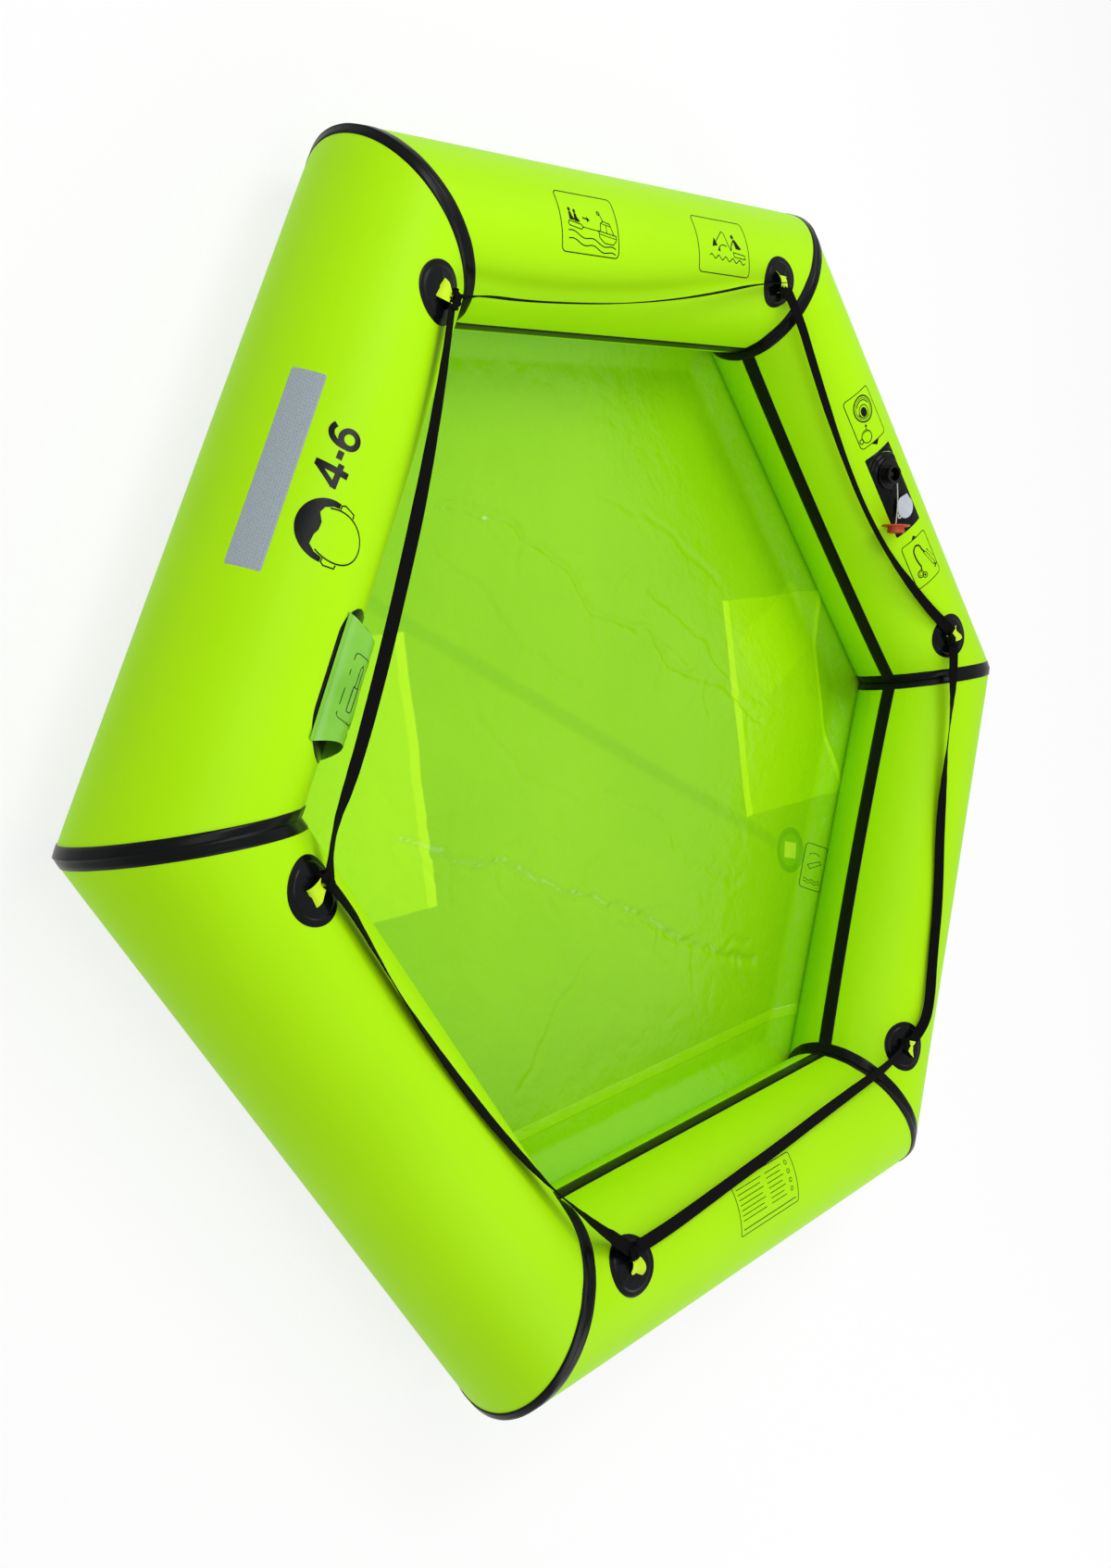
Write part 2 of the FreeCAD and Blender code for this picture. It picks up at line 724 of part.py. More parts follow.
def make_tether():
    points = tether_route()
    wire = route_wire(points, "tether")
    along = (points[1] - points[0]).normalize()
    section = Part.Wire([Part.makeCircle(tether_radius, points[0], along)])
    sweep = Part.BRepOffsetAPI.MakePipeShell(wire)
    sweep.setFrenetMode(False)
    sweep.add(section, False, False)
    sweep.build()
    sweep.makeSolid()
    return sweep.shape()


def make_sleeve_patch():
    """A black patch with round ends under the knife sleeve."""
    middle = (sleeve_patch_low_angle + sleeve_patch_high_angle) / 2
    plate = tube_strip(tube_radius, tube_radius + sleeve_patch_thickness, sleeve_patch_low_angle,
                       sleeve_patch_high_angle, sleeve_patch_start, sleeve_patch_end)
    half_width = tube_radius * math.radians(sleeve_patch_high_angle - sleeve_patch_low_angle) / 2
    length = sleeve_patch_end - sleeve_patch_start
    depth = sleeve_cut_depth
    bar = Part.makeBox(length - 2 * half_width, 2.4 * half_width, 2 * depth,
                       Vector(sleeve_patch_start + half_width, -1.2 * half_width, -depth))
    ends = [Part.makeCylinder(half_width, 2 * depth, Vector(x, 0, -depth))
            for x in (sleeve_patch_start + half_width, sleeve_patch_end - half_width)]
    room = bar.fuse(ends[0]).fuse(ends[1])
    return plate.common(place_on_tube(room, 0, middle, tube_radius))


def sleeve_face(clear, low, high, x):
    """Section of the sleeve: a bulging curve over the patch, closed by the patch's own arc."""
    base = tube_radius + sleeve_patch_thickness
    middle = (low + high) / 2
    chord_height = base * math.cos(math.radians((high - low) / 2))
    top = tube_point(x, middle, chord_height + sleeve_bulge - clear + base - chord_height)
    outer = Part.Arc(tube_point(x, low, base), top, tube_point(x, high, base)).toShape()
    inner = arc_edge(x, base, high, low)
    return Part.Face(Part.Wire([outer, inner]))


def make_sleeve():
    """A bulging strip of film welded along both long edges and open at both ends."""
    length = Vector(sleeve_end - sleeve_start, 0, 0)
    rim = math.degrees(sleeve_rim / tube_radius)
    outer = sleeve_face(0, sleeve_low_angle, sleeve_high_angle, sleeve_start).extrude(length)
    inner = sleeve_face(sleeve_wall, sleeve_low_angle + rim, sleeve_high_angle - rim, sleeve_start).extrude(length)
    strip = outer.cut(inner)
    base = tube_radius + sleeve_patch_thickness
    hem_angle = math.degrees(sleeve_hem / tube_radius)
    for low in (sleeve_low_angle - hem_angle, sleeve_high_angle):
        weld = tube_strip(base, base + sleeve_wall, low, low + hem_angle, sleeve_start, sleeve_end)
        strip = strip.fuse(weld)
    middle = (sleeve_low_angle + sleeve_high_angle) / 2
    half_width = tube_radius * math.radians(sleeve_high_angle - sleeve_low_angle) / 2
    bow = (half_width ** 2 + sleeve_end_hollow ** 2) / (2 * sleeve_end_hollow)
    for end, sign in ((sleeve_end, 1), (sleeve_start, -1)):
        hollow = Part.makeCylinder(bow, 2 * sleeve_cut_depth,
                                   Vector(end + sign * (bow - sleeve_end_hollow), 0, -sleeve_cut_depth))
        strip = strip.cut(place_on_tube(hollow, 0, middle, tube_radius))
    return largest_solid(strip.removeSplitter())


def bottle_place():
    """Local y and z of the bottle's axis, its distance from the tube's axis, and its angle."""
    distance = tube_radius + cradle_thickness + bottle_radius
    height = bottle_radius + bottle_ground_gap
    drop = axis_height - height
    outward = math.sqrt(distance ** 2 - drop ** 2)
    return apothem + outward, height, distance, 180 + math.degrees(math.atan2(drop, outward))


def make_bottle():
    y, z = bottle_place()[:2]
    half = bottle_length / 2
    base = bottle_base_radius
    shoulder = bottle_radius - bottle_neck_radius
    bend = math.sin(math.radians(45))
    start = bottle_x - half
    end = bottle_x + half
    profile = [
        Part.LineSegment(Vector(start, 0, 0), Vector(start, bottle_radius - base, 0)).toShape(),
        Part.Arc(Vector(start, bottle_radius - base, 0),
                 Vector(start + base * (1 - bend), bottle_radius - base * (1 - bend), 0),
                 Vector(start + base, bottle_radius, 0)).toShape(),
        Part.LineSegment(Vector(start + base, bottle_radius, 0),
                         Vector(end - shoulder, bottle_radius, 0)).toShape(),
        Part.Arc(Vector(end - shoulder, bottle_radius, 0),
                 Vector(end - shoulder * (1 - bend), bottle_radius - shoulder * (1 - bend), 0),
                 Vector(end, bottle_neck_radius, 0)).toShape(),
        Part.LineSegment(Vector(end, bottle_neck_radius, 0),
                         Vector(end + bottle_neck_length, bottle_neck_radius, 0)).toShape(),
        Part.LineSegment(Vector(end + bottle_neck_length, bottle_neck_radius, 0),
                         Vector(end + bottle_neck_length, 0, 0)).toShape(),
        Part.LineSegment(Vector(end + bottle_neck_length, 0, 0), Vector(start, 0, 0)).toShape(),
    ]
    bottle = Part.Face(Part.Wire(profile)).revolve(Vector(0, 0, 0), Vector(1, 0, 0), 360)
    bottle.translate(Vector(0, y, z))
    return to_side(bottle, bottle_side)


def sling_outline(radius, spread, x):
    """A loop round the bottle whose legs run out to the cradle."""
    y, z = bottle_place()[:2]
    angle = bottle_place()[3]
    centre = Vector(x, y, z)
    disc = Part.Face(Part.Wire([Part.makeCircle(radius, centre, Vector(1, 0, 0))]))
    feet = [tube_point(x, angle + sign * spread, tube_radius + cradle_thickness / 2) for sign in (1, -1)]
    sides = []
    for foot in feet:
        line = centre - foot
        lean = math.degrees(math.asin(radius / line.Length))
        for sign in (1, -1):
            turn = FreeCAD.Rotation(Vector(1, 0, 0), sign * lean)
            reach_line = turn.multVec(line) * math.cos(math.radians(lean))
            sides.append((foot, foot + reach_line))
    middle = tube_point(x, angle, tube_radius)
    touch_a = max((side[1] for side in sides[:2]), key=lambda point: point.distanceToPoint(middle))
    touch_b = max((side[1] for side in sides[2:]), key=lambda point: point.distanceToPoint(middle))
    web = Part.Face(Part.makePolygon([feet[0], touch_a, centre, touch_b, feet[1], feet[0]]))
    return disc.fuse(web).removeSplitter()


def make_slings():
    """Two fabric slings that hold the bottle against the cradle."""
    pieces = []
    for sign in (-1, 1):
        x = bottle_x + sign * sling_spacing / 2 - sling_width / 2
        rim = math.degrees(sling_leg_thickness / tube_radius)
        outer = sling_outline(bottle_radius + sling_thickness, sling_spread_angle, x)
        inner = sling_outline(bottle_radius, sling_spread_angle - rim, x)
        width = Vector(sling_width, 0, 0)
        band = outer.extrude(width).cut(inner.extrude(width))
        band = band.cut(tube_round(tube_radius + cradle_thickness))
        pieces.extend(band.Solids)
    return to_side(Part.makeCompound(pieces), bottle_side)


def make_cradle():
    angle = bottle_place()[3]
    return to_side(tube_strip(tube_radius, tube_radius + cradle_thickness, angle - cradle_half_angle,
                              angle + cradle_half_angle, bottle_x - cradle_half_length,
                              bottle_x + cradle_half_length), bottle_side)


def head_x():
    return bottle_x + bottle_length / 2 + bottle_neck_length + head_length / 2


def make_head():
    """The operating head on the bottle's neck, with its nut, its side cap and its outlet boss."""
    y, z = bottle_place()[:2]
    angle = bottle_place()[3]
    start = head_x() - head_length / 2
    barrel = Part.makeCylinder(head_radius, head_length - head_nut_height,
                               Vector(start + head_nut_height, y, z), Vector(1, 0, 0))
    nut_points = [Vector(start, y + head_nut_width / math.sqrt(3) * math.cos(math.radians(60 * n)),
                         z + head_nut_width / math.sqrt(3) * math.sin(math.radians(60 * n))) for n in range(6)]
    nut = Part.Face(Part.makePolygon(nut_points + [nut_points[0]])).extrude(Vector(head_nut_height, 0, 0))
    cap = Part.makeCylinder(head_cap_radius, head_cap_length,
                            Vector(head_x() + head_length / 2, y, z), Vector(1, 0, 0))
    side_boss = Part.makeCylinder(head_cap_radius, head_radius + head_cap_length,
                                  Vector(head_x() + head_nut_height / 2, y, z), radial(angle - 90))
    return to_side(barrel.fuse(nut).fuse(cap).fuse(side_boss).removeSplitter(), bottle_side)


def make_inlet():
    """The inlet on the tube, in one piece with the short pipe from the head."""
    y, z, distance, angle = bottle_place()
    x = head_x() + head_nut_height / 2
    patch = tube_disc(x, angle, inlet_patch_radius, tube_radius, tube_radius + inlet_patch_thickness)
    skin = tube_radius + inlet_patch_thickness
    sagitta = skin - math.sqrt(skin ** 2 - inlet_flange_radius ** 2)
    flange = radial_post(x, angle, inlet_flange_radius, skin - 2 * sagitta, skin + inlet_flange_height)
    boss = radial_post(x, angle, inlet_boss_radius, tube_radius, skin + inlet_height)
    inlet = flange.fuse(boss).cut(tube_round(skin))
    barrel = Part.makeCylinder(head_radius, head_length, Vector(head_x() - head_length / 2, y, z),
                               Vector(1, 0, 0))
    pipe = largest_solid(radial_post(x, angle, pipe_radius, skin + inlet_height, distance).cut(barrel))
    return to_side(patch, bottle_side), to_side(inlet.fuse(pipe), bottle_side)


def main():
    os.makedirs("parts", exist_ok=True)
    panels = make_tube_panels()
    tapes = {}
    loops = {}
    for side in panels:
        tapes[side] = make_mitre_tape(side)
    for side in panels:
        save("tube_panel_" + str(side), panels[side])
        save("mitre_tape_" + str(side), tapes[side])
        save("seam_tape_" + str(side), make_seam_tape(side))
        save("lifeline_patch_" + str(side), make_patch(side))
        loops[side] = make_loop(side)
        save("lifeline_loop_" + str(side), loops[side])
    knots = {side: make_knot(side) for side in panels}
    save("lifeline_knots", Part.makeCompound([knots[side].cut(loops[side]) for side in panels]))
    for side in panels:
        strap = make_webbing(side)
        for end in (side, next_side(side)):
            strap = strap.cut(knots[end]).cut(loops[end])
        save("lifeline_webbing_" + str(side), largest_solid(strap))

    floor, floor_end, flat_distance = make_floor(panels, tapes)
    save("floor_sheet", floor)
    save("floor_end_panel", floor_end)
    save("ballast_pocket_a", make_ballast_pocket(3, flat_distance))
    save("ballast_pocket_b", make_ballast_pocket(6, flat_distance))
    discs, righting_loops, strap = make_righting_gear()
    save("righting_patches", discs)
    save("righting_loops", righting_loops)
    save("righting_strap", strap)

    body, poppet, spring = make_valve()
    save("valve_base_patch", to_side(make_valve_patch(), valve_side))
    save("valve_body", to_side(body, valve_side))
    save("valve_poppet", to_side(poppet, valve_side))
    save("valve_spring", to_side(spring, valve_side))
    save("valve_cap", to_side(make_cap(), valve_side))
    save("valve_plug", to_side(make_plug(), valve_side))
    save("valve_tether", to_side(make_tether(), valve_side))

    save("knife_sleeve_patch", to_side(make_sleeve_patch(), sleeve_side))
    save("knife_sleeve", to_side(make_sleeve(), sleeve_side))
    save("reflective_tape", to_side(tube_strip(tube_radius, tube_radius + reflector_thickness,
                                               reflector_low_angle, reflector_high_angle,
                                               reflector_start, reflector_end), reflector_side))

    save("gas_bottle", make_bottle())
    save("bottle_cradle", make_cradle())
    save("bottle_slings", make_slings())
    save("operating_head", make_head())
    inlet_patch, inlet = make_inlet()
    save("inlet_patch", inlet_patch)
    save("inlet_fitting", inlet)


main()
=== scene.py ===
# %% [markdown]
# # An open inflatable liferaft
# The raft is one air tube that goes round a hexagon, with a floor of thin film, black tapes
# over its seams and a lifeline inside. Nearly all of it is soft, so most pieces are meshes laid
# on one skin: a function that says where the blown-up fabric is. What is rigid, such as the
# valve and the gas bottle, keeps its construction solid and only gets a finish.

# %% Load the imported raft
import json
import math

import bmesh
import bpy
from mathutils import Matrix, Vector, noise


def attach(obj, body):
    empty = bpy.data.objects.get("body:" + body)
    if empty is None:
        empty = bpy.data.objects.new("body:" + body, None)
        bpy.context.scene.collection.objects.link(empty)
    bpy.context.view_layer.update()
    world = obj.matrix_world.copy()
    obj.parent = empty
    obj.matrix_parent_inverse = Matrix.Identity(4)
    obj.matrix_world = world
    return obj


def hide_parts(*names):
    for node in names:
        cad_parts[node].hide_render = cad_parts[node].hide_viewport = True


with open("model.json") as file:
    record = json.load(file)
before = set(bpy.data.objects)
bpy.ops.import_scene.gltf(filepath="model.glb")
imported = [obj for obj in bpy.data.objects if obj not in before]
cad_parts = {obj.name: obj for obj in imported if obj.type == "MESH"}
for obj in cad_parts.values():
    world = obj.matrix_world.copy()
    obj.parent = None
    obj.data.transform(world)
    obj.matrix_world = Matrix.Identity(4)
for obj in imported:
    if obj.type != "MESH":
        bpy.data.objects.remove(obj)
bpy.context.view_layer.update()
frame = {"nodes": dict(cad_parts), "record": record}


def noise_at(x, y, z):
    return noise.noise(Vector((x, y, z)))


def put_in_scene(name, data):
    thing = bpy.data.objects.new(name, data)
    bpy.context.scene.collection.objects.link(thing)
    return thing


# %% [markdown]
# ## The camera
# The camera comes first, because it decides which side of each piece matters. It stands above
# the near left corner and is rolled by a quarter turn, so that the raft stands on its edge in
# the picture. Its three directions were worked out once from the corners of the hexagon. They
# are written as rows of numbers, because rolled angles are hard to read.

# %% Camera
picture = (1200, 1693)
focal_pixels = 1684.4
centre_pixel = (715.5, 730.7)
camera_place = Vector((-1.2843, -1.7535, 1.9723))
camera_right = Vector((0.4141, 0.4871, 0.7689))
camera_down = Vector((0.8043, -0.5914, -0.0585))
camera_ahead = Vector((0.4262, 0.6427, -0.6367))

lens = bpy.data.cameras.new("view")
lens.sensor_width = 36.0
lens.lens = focal_pixels / picture[1] * lens.sensor_width
lens.shift_x = (picture[0] / 2 - centre_pixel[0]) / picture[1]
lens.shift_y = (centre_pixel[1] - picture[1] / 2) / picture[1]
lens.clip_end = 50.0
camera = put_in_scene("view", lens)
turn = Matrix((camera_right, -camera_down, -camera_ahead)).transposed()
camera.matrix_world = Matrix.Translation(camera_place) @ turn.to_4x4()
bpy.context.scene.camera = camera
print("lens", round(lens.lens, 2), "shift", round(lens.shift_x, 4), round(lens.shift_y, 4))

# %% [markdown]
# ## The ring's sizes
# Every soft piece is placed by its side, a distance along the tube and an angle round it. The
# angle is 0 on the inside of the raft, 90 on top and 180 on the outside, which is how a person
# would point at a place on the tube. These sizes are those of the construction solids.

# %% The ring
side_length = 0.990
tube_radius = 0.144
apothem = side_length / 2 / math.tan(math.radians(30))
axis_height = 0.1456
sides = range(1, 7)


def cos_of(degrees):
    return math.cos(math.radians(degrees))


def sin_of(degrees):
    return math.sin(math.radians(degrees))


def side_turn(side):
    return Matrix.Rotation(math.radians(120 - 60 * (side - 1)), 3, "Z")


def next_side(side):
    return side % 6 + 1


def seam_x(angle):
    """How far from the middle of a side the mitred seam lies, at an angle round the tube."""
    return (apothem - tube_radius * cos_of(angle)) * math.tan(math.radians(30))


def on_tube(side, x, angle, radius):
    turn = math.radians(angle)
    return side_turn(side) @ Vector((x, apothem - radius * math.cos(turn),
                                     axis_height + radius * math.sin(turn)))


def degrees_of(distance):
    """The angle that a distance round the tube takes up."""
    return math.degrees(distance / tube_radius)


print("apothem", round(apothem, 4))

# %% [markdown]
# ## Making a piece
# All meshes go through one helper, which makes the object, smooths it, names the finish that it
# takes and says which body it rides on. Keeping this in one place means that no piece is
# forgotten when the raft moves.

# %% Piece helpers
made = []
finishes = {}


def add_mesh(name, points, faces, finish, hides=()):
    mesh = bpy.data.meshes.new(name)
    mesh.from_pydata([tuple(p) for p in points], [], faces)
    mesh.validate()
    mesh.update()
    return add_piece(name, mesh, finish, hides)


def add_piece(name, mesh, finish, hides=()):
    piece = put_in_scene(name, mesh)
    for polygon in mesh.polygons:
        polygon.use_smooth = True
    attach(piece, "raft")
    if hides:
        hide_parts(*hides)
    made.append((piece, finish))
    return piece


def grid_faces(rows, columns, closed=False):
    """Quads between rows of points that are listed one row after another."""
    faces = []
    for row in range(rows - 1):
        for column in range(columns if closed else columns - 1):
            after = (column + 1) % columns
            faces.append((row * columns + column, row * columns + after,
                          (row + 1) * columns + after, (row + 1) * columns + column))
    return faces


def capped_faces(rows, columns):
    """A closed grid with a face over each of its ends."""
    faces = grid_faces(rows, columns, closed=True)
    faces.append(tuple(reversed(range(columns))))
    faces.append(tuple(range((rows - 1) * columns, rows * columns)))
    return faces


def blend_step(low, high, value):
    share = min(max((value - low) / (high - low), 0.0), 1.0)
    return share * share * (3 - 2 * share)


def value_along(stations, place):
    """A value that goes smoothly between pairs of (place, value)."""
    for (low, first), (high, second) in zip(stations, stations[1:]):
        if place <= high:
            return first + (second - first) * blend_step(low, high, place)
    return stations[-1][1]


# %% [markdown]
# ## The lifeline's routes
# Six lengths of 25 mm webbing hang between the patches. Webbing is flat and limp: it lies on the
# tube in places, hangs free in others, and rolls over on the way. Each route is a short list of
# chosen points in millimetres: the distance along the straight line between two hitches, how far
# the webbing bows towards the inside, and its height. A second list gives the roll, which is
# measured by how wide the webbing looks in the picture.

# %% Lifeline routes
millimetre = 0.001
webbing_width = 0.025
webbing_thickness = 0.0018
knot_place = (0.366, 67.0, 0.155)
webbing_routes = {
    6: [(6, 6, 287), (60, -2, 281), (150, 14, 279), (282, 25, 275),
        (418, 30, 273), (566, 29, 275), (700, 19, 281), (800, 7, 287),
        (870, -4, 291)],
    1: [(6, -6, 293), (62, -7, 289), (150, 1, 281), (268, 7, 279),
        (396, 11, 282), (538, 8, 290), (670, -2, 299), (782, -15, 302),
        (869, -16, 301)],
    2: [(6, -17, 289), (66, -16, 288), (150, -2, 281), (252, 14, 274),
        (372, 30, 268), (492, 40, 265), (622, 37, 268), (748, 17, 278),
        (812, 3, 284), (869, -13, 292)],
    3: [(6, -14, 289), (62, -23, 291), (150, -31, 292), (264, -36, 289),
        (404, -43, 288), (560, -58, 295), (690, -57, 298), (790, -56, 303),
        (838, -40, 301), (870, -15, 293)],
    4: [(6, -3, 289), (62, -13, 291), (158, -12, 289), (310, -10, 288),
        (456, -10, 288), (604, -6, 289), (738, -3, 290), (812, 0, 290),
        (869, 5, 290)],
    5: [(6, 2, 288), (60, -9, 284), (122, -19, 281), (222, -30, 278),
        (356, -37, 278), (500, -36, 282), (640, -27, 287), (762, -8, 288),
        (826, 2, 289), (868, 2, 288)],
}

# %% Lifeline rolls
# distance along the line in millimetres, and degrees with the inner edge up
webbing_rolls = {
    6: [(0, -20), (40, -39), (64, -40), (90, -32), (130, -19), (160, -13), (250, -7),
        (320, -5), (540, -3), (620, -9), (690, -16), (767, -23), (800, -28), (876, -30)],
    1: [(0, 60), (60, 80), (876, 80)],
    2: [(0, -9), (150, -6), (243, -3), (317, 4), (394, 10), (500, 13), (600, 14), (655, 8),
        (700, -2), (746, -7), (794, -13), (820, -18), (876, -20)],
    3: [(0, -20), (70, -15), (102, -3), (132, 11), (163, 22), (200, 30), (235, 27),
        (275, 14), (317, 0), (362, -12), (409, -18), (482, -21), (577, -23), (640, -20),
        (700, -20), (748, -24), (800, -22), (832, -17), (876, -10)],
    4: [(0, 22), (94, 20), (170, 13), (228, 8), (333, 5), (600, 6), (676, 4), (754, 1),
        (825, 0), (876, 0)],
    5: [(0, -15), (53, -21), (66, -35), (88, -40), (110, -47), (149, -59), (180, -67),
        (215, -65), (253, -53), (294, -44), (338, -39), (450, -35), (519, -39), (564, -44),
        (608, -50), (651, -58), (691, -59), (729, -53), (774, -46), (807, -40), (876, -36)],
}


def knot_centre(side):
    return on_tube(side, *knot_place)


def out_of_tube(side, angle):
    """The direction straight out of the tube, at an angle round it, where the hitches are."""
    x = knot_place[0]
    return on_tube(side, x, angle, 1.0) - on_tube(side, x, angle, 0.0)


def route_frame(side):
    """Where a length of webbing starts, its direction and the direction to the inside."""
    start = knot_centre(side)
    end = knot_centre(next_side(side))
    along = end - start
    along.z = 0
    along.normalize()
    inward = (start + end) * -0.5
    inward.z = 0
    inward = (inward - along * inward.dot(along)).normalized()
    return start, along, inward


def route_points(side):
    start, along, inward = route_frame(side)
    points = []
    for distance, bow, height in webbing_routes[side]:
        point = start + along * (distance * millimetre) + inward * (bow * millimetre)
        point.z = height * millimetre
        points.append(point)
    return points


print("first length has", len(webbing_routes[1]), "points")

# %% [markdown]
# ## Reading a spline
# The chosen points are the control points of a NURBS spline, which turns them into one smooth
# line. Blender works that line out when the curve becomes a mesh, so the helper makes the curve
# with no bevel, takes its points, and removes it again. The order and the end points are set
# after the points are added, because before that they have no effect.

# %% Spline helper


def new_spline(name, points, steps):
    curve = bpy.data.curves.new(name, "CURVE")
    curve.dimensions = "3D"
    curve.resolution_u = steps
    spline = curve.splines.new("NURBS")
    spline.points.add(len(points) - 1)
    for knot, point in zip(spline.points, points):
        knot.co = (*point, 1.0)
    spline.order_u = 3
    spline.use_endpoint_u = True
    return curve


def spline_line(points, steps=14):
    curve = new_spline("line", points, steps)
    holder = bpy.data.objects.new("line", curve)
    mesh = bpy.data.meshes.new_from_object(holder)
    line = [vertex.co.copy() for vertex in mesh.vertices]
    bpy.data.objects.remove(holder)
    bpy.data.curves.remove(curve)
    bpy.data.meshes.remove(mesh)
    return line


def lengths_along(line):
    reached = [0.0]
    for a, b in zip(line, line[1:]):
        reached.append(reached[-1] + (b - a).length)
    return reached


print("a spline of the first route has", len(spline_line(route_points(1))), "points")

# %% [markdown]
# ## Bands
# A band is a flat strip with a thickness: webbing, loops and the turns of a hitch are all bands.
# A curve with a round bevel would look like rope, so the helper lays a flat section with slightly
# rounded edges across the line at each point. Texture coordinates run along and across it, in
# metres, so that the weave keeps its scale.

# %% Band helper
lower_half = [(-0.5, -0.3), (-0.47, -0.5), (-0.25, -0.5), (0.0, -0.5),
              (0.25, -0.5), (0.47, -0.5), (0.5, -0.3)]
band_section = lower_half + [(-u, -v) for u, v in lower_half]


def add_band(name, line, across, widths, thickness, finish, hides=(), fold=0.0):
    """A strip along a line. Across gives its width direction; fold lifts its middle into a ridge."""
    count = len(band_section)
    points = []
    for index, point in enumerate(line):
        before = line[max(index - 1, 0)]
        after = line[min(index + 1, len(line) - 1)]
        along = (after - before).normalized()
        side_way = (across[index] - along * across[index].dot(along)).normalized()
        up_way = along.cross(side_way).normalized()
        for u, v in band_section:
            lift = v * thickness + fold * (1 - 2 * abs(u))
            points.append(point + side_way * (u * widths[index]) + up_way * lift)
    faces = capped_faces(len(line), count)
    piece = add_mesh(name, points, faces, finish, hides)
    reached = lengths_along(line)
    layer = piece.data.uv_layers.new(name="UVMap")
    for polygon in piece.data.polygons:
        for corner in polygon.loop_indices:
            row, place = divmod(piece.data.loops[corner].vertex_index, count)
            layer.data[corner].uv = (band_section[place][0] * widths[row], reached[row])
    return piece


# %% Lifeline webbing
for side in sides:
    line = spline_line(route_points(side))
    start, along, inward = route_frame(side)
    reached = lengths_along(line)
    across = []
    for point in line:
        distance = (point - start).dot(along) / millimetre
        roll = math.radians(value_along(webbing_rolls[side], distance))
        across.append(inward * math.cos(roll) + Vector((0, 0, 1)) * math.sin(roll))
    piece = add_band(f"webbing_{side}", line, across, [webbing_width] * len(line), webbing_thickness,
                     "black_webbing", [f"lifeline_webbing_{side}"])
    tuple(line[0])
    [tuple(p) for p in line]
    print(piece.name, "length", round(reached[-1], 4), "points", len(line))

# %% [markdown]
# ## The stopper's tether
# A thin soft cord holds the valve's stopper. It is almost straight, so a plain curve with a
# round bevel is enough. It is turned into a mesh at once, because the box of a curve also counts
# the size of its control points. Its points are those of the construction route.

# %% Tether
tether_radius = 0.0013
tether_points = [(-0.0137, 0.8259, 0.2938), (0.0071, 0.8054, 0.2961),
                 (0.0317, 0.7819, 0.2954), (0.0494, 0.7657, 0.2919)]
tether_curve = new_spline("stopper_tether", tether_points, 12)
tether_curve.bevel_depth = tether_radius
tether_curve.bevel_resolution = 3
tether_curve.use_fill_caps = True
holder = bpy.data.objects.new("stopper_tether", tether_curve)
tether_mesh = bpy.data.meshes.new_from_object(holder)
bpy.data.objects.remove(holder)
tether = add_piece("stopper_tether", tether_mesh, "tether_plastic", ["valve_tether"])
tether_line = spline_line(tether_points, 12)
tether_length = lengths_along(tether_line)[-1]
[tuple(p) for p in tether_line]
print("tether length", round(tether_length, 4))

# %% [markdown]
# ## The blown-up skin
# Air makes the tube round, but the seams hold it in. At each corner the panels are cut on a
# slant and welded, so the fabric near the weld is drawn in a little, and on the inside of the
# bend, where there is too much cloth, it puckers. One function gives the skin's place with all
# of this, and the tube, tapes, patches and prints all use it, so that none of them floats.

# %% Skin


def skin(side, x, angle, lift=0.0):
    edge = seam_x(angle)
    gap = max(edge - abs(x), 0.0)
    end = side if x > 0 else (side + 4) % 6 + 1
    inner = 0.5 + 0.5 * cos_of(angle - 10)
    drawn = -0.0016 * math.exp(-gap / 0.022)
    wave = noise_at(angle * 0.11, end * 7.3, 2.0 if x > 0 else 5.0)
    pucker = 0.0022 * inner ** 2 * wave * math.exp(-gap / 0.050)
    soft = 0.0006 * noise_at(x * 2.2, angle / 38.0, side * 3.7)
    return on_tube(side, x, angle, tube_radius + drawn + pucker + soft + lift)


print("skin at the top of side 1", tuple(round(v, 3) for v in skin(1, 0.0, 90)))

# %% [markdown]
# ## The air tube
# Each side of the ring is one panel, rolled into a tube and cut on a slant at both ends. The
# rows of points run round the tube and follow the slanted cut, so that two neighbouring panels
# meet in the seam. There are more rows near the seams, where the fabric puckers. The panel of
# the third side has a round hole, through which the valve goes.

# %% Air tube
around = 144
stations_across = []
for step in range(73):
    share = step / 36 - 1
    stations_across.append(0.55 * share + 0.45 * math.sin(share * math.pi / 2))
valve_side = 3
valve_x = -0.040
valve_angle = 75.5
valve_mouth = on_tube(valve_side, valve_x, valve_angle, tube_radius)
valve_hole = 0.0205


def add_tube_panel(side):
    points = []
    for share in stations_across:
        for step in range(around):
            angle = 360 * step / around - 90
            points.append(skin(side, share * seam_x(angle), angle))
    faces = grid_faces(len(stations_across), around, closed=True)
    if side == valve_side:
        faces = [face for face in faces
                 if (sum((points[i] for i in face), Vector()) / 4 - valve_mouth).length > valve_hole]
    return add_mesh(f"air_tube_{side}", points, faces, "tube_fabric", [f"tube_panel_{side}"])


for side in sides:
    panel = add_tube_panel(side)
print("points in a panel", len(panel.data.vertices))

# %% [markdown]
# ## Tapes over the seams
# The welds are covered with black tape: two bands lapped over each slanted seam, which leave a
# step in the middle, and one band along the inside of each side. A tape is a strip of the same
# skin, lifted by its thickness, with its edges turned down to the fabric.

# %% Corner tapes
tape_thickness = 0.0009
tape_step = 0.0007
mitre_half = 0.0156 / cos_of(30)
tape_columns = [(0, 1.0, 0), (0, 0.97, 1), (0, 0.6, 1), (0, 0.3, 1), (0, 0.12, 1), (1, 0.0, 1),
                (1, 0.02, 2), (1, 0.3, 2), (1, 0.65, 2), (1, 0.97, 2), (1, 1.0, 0)]


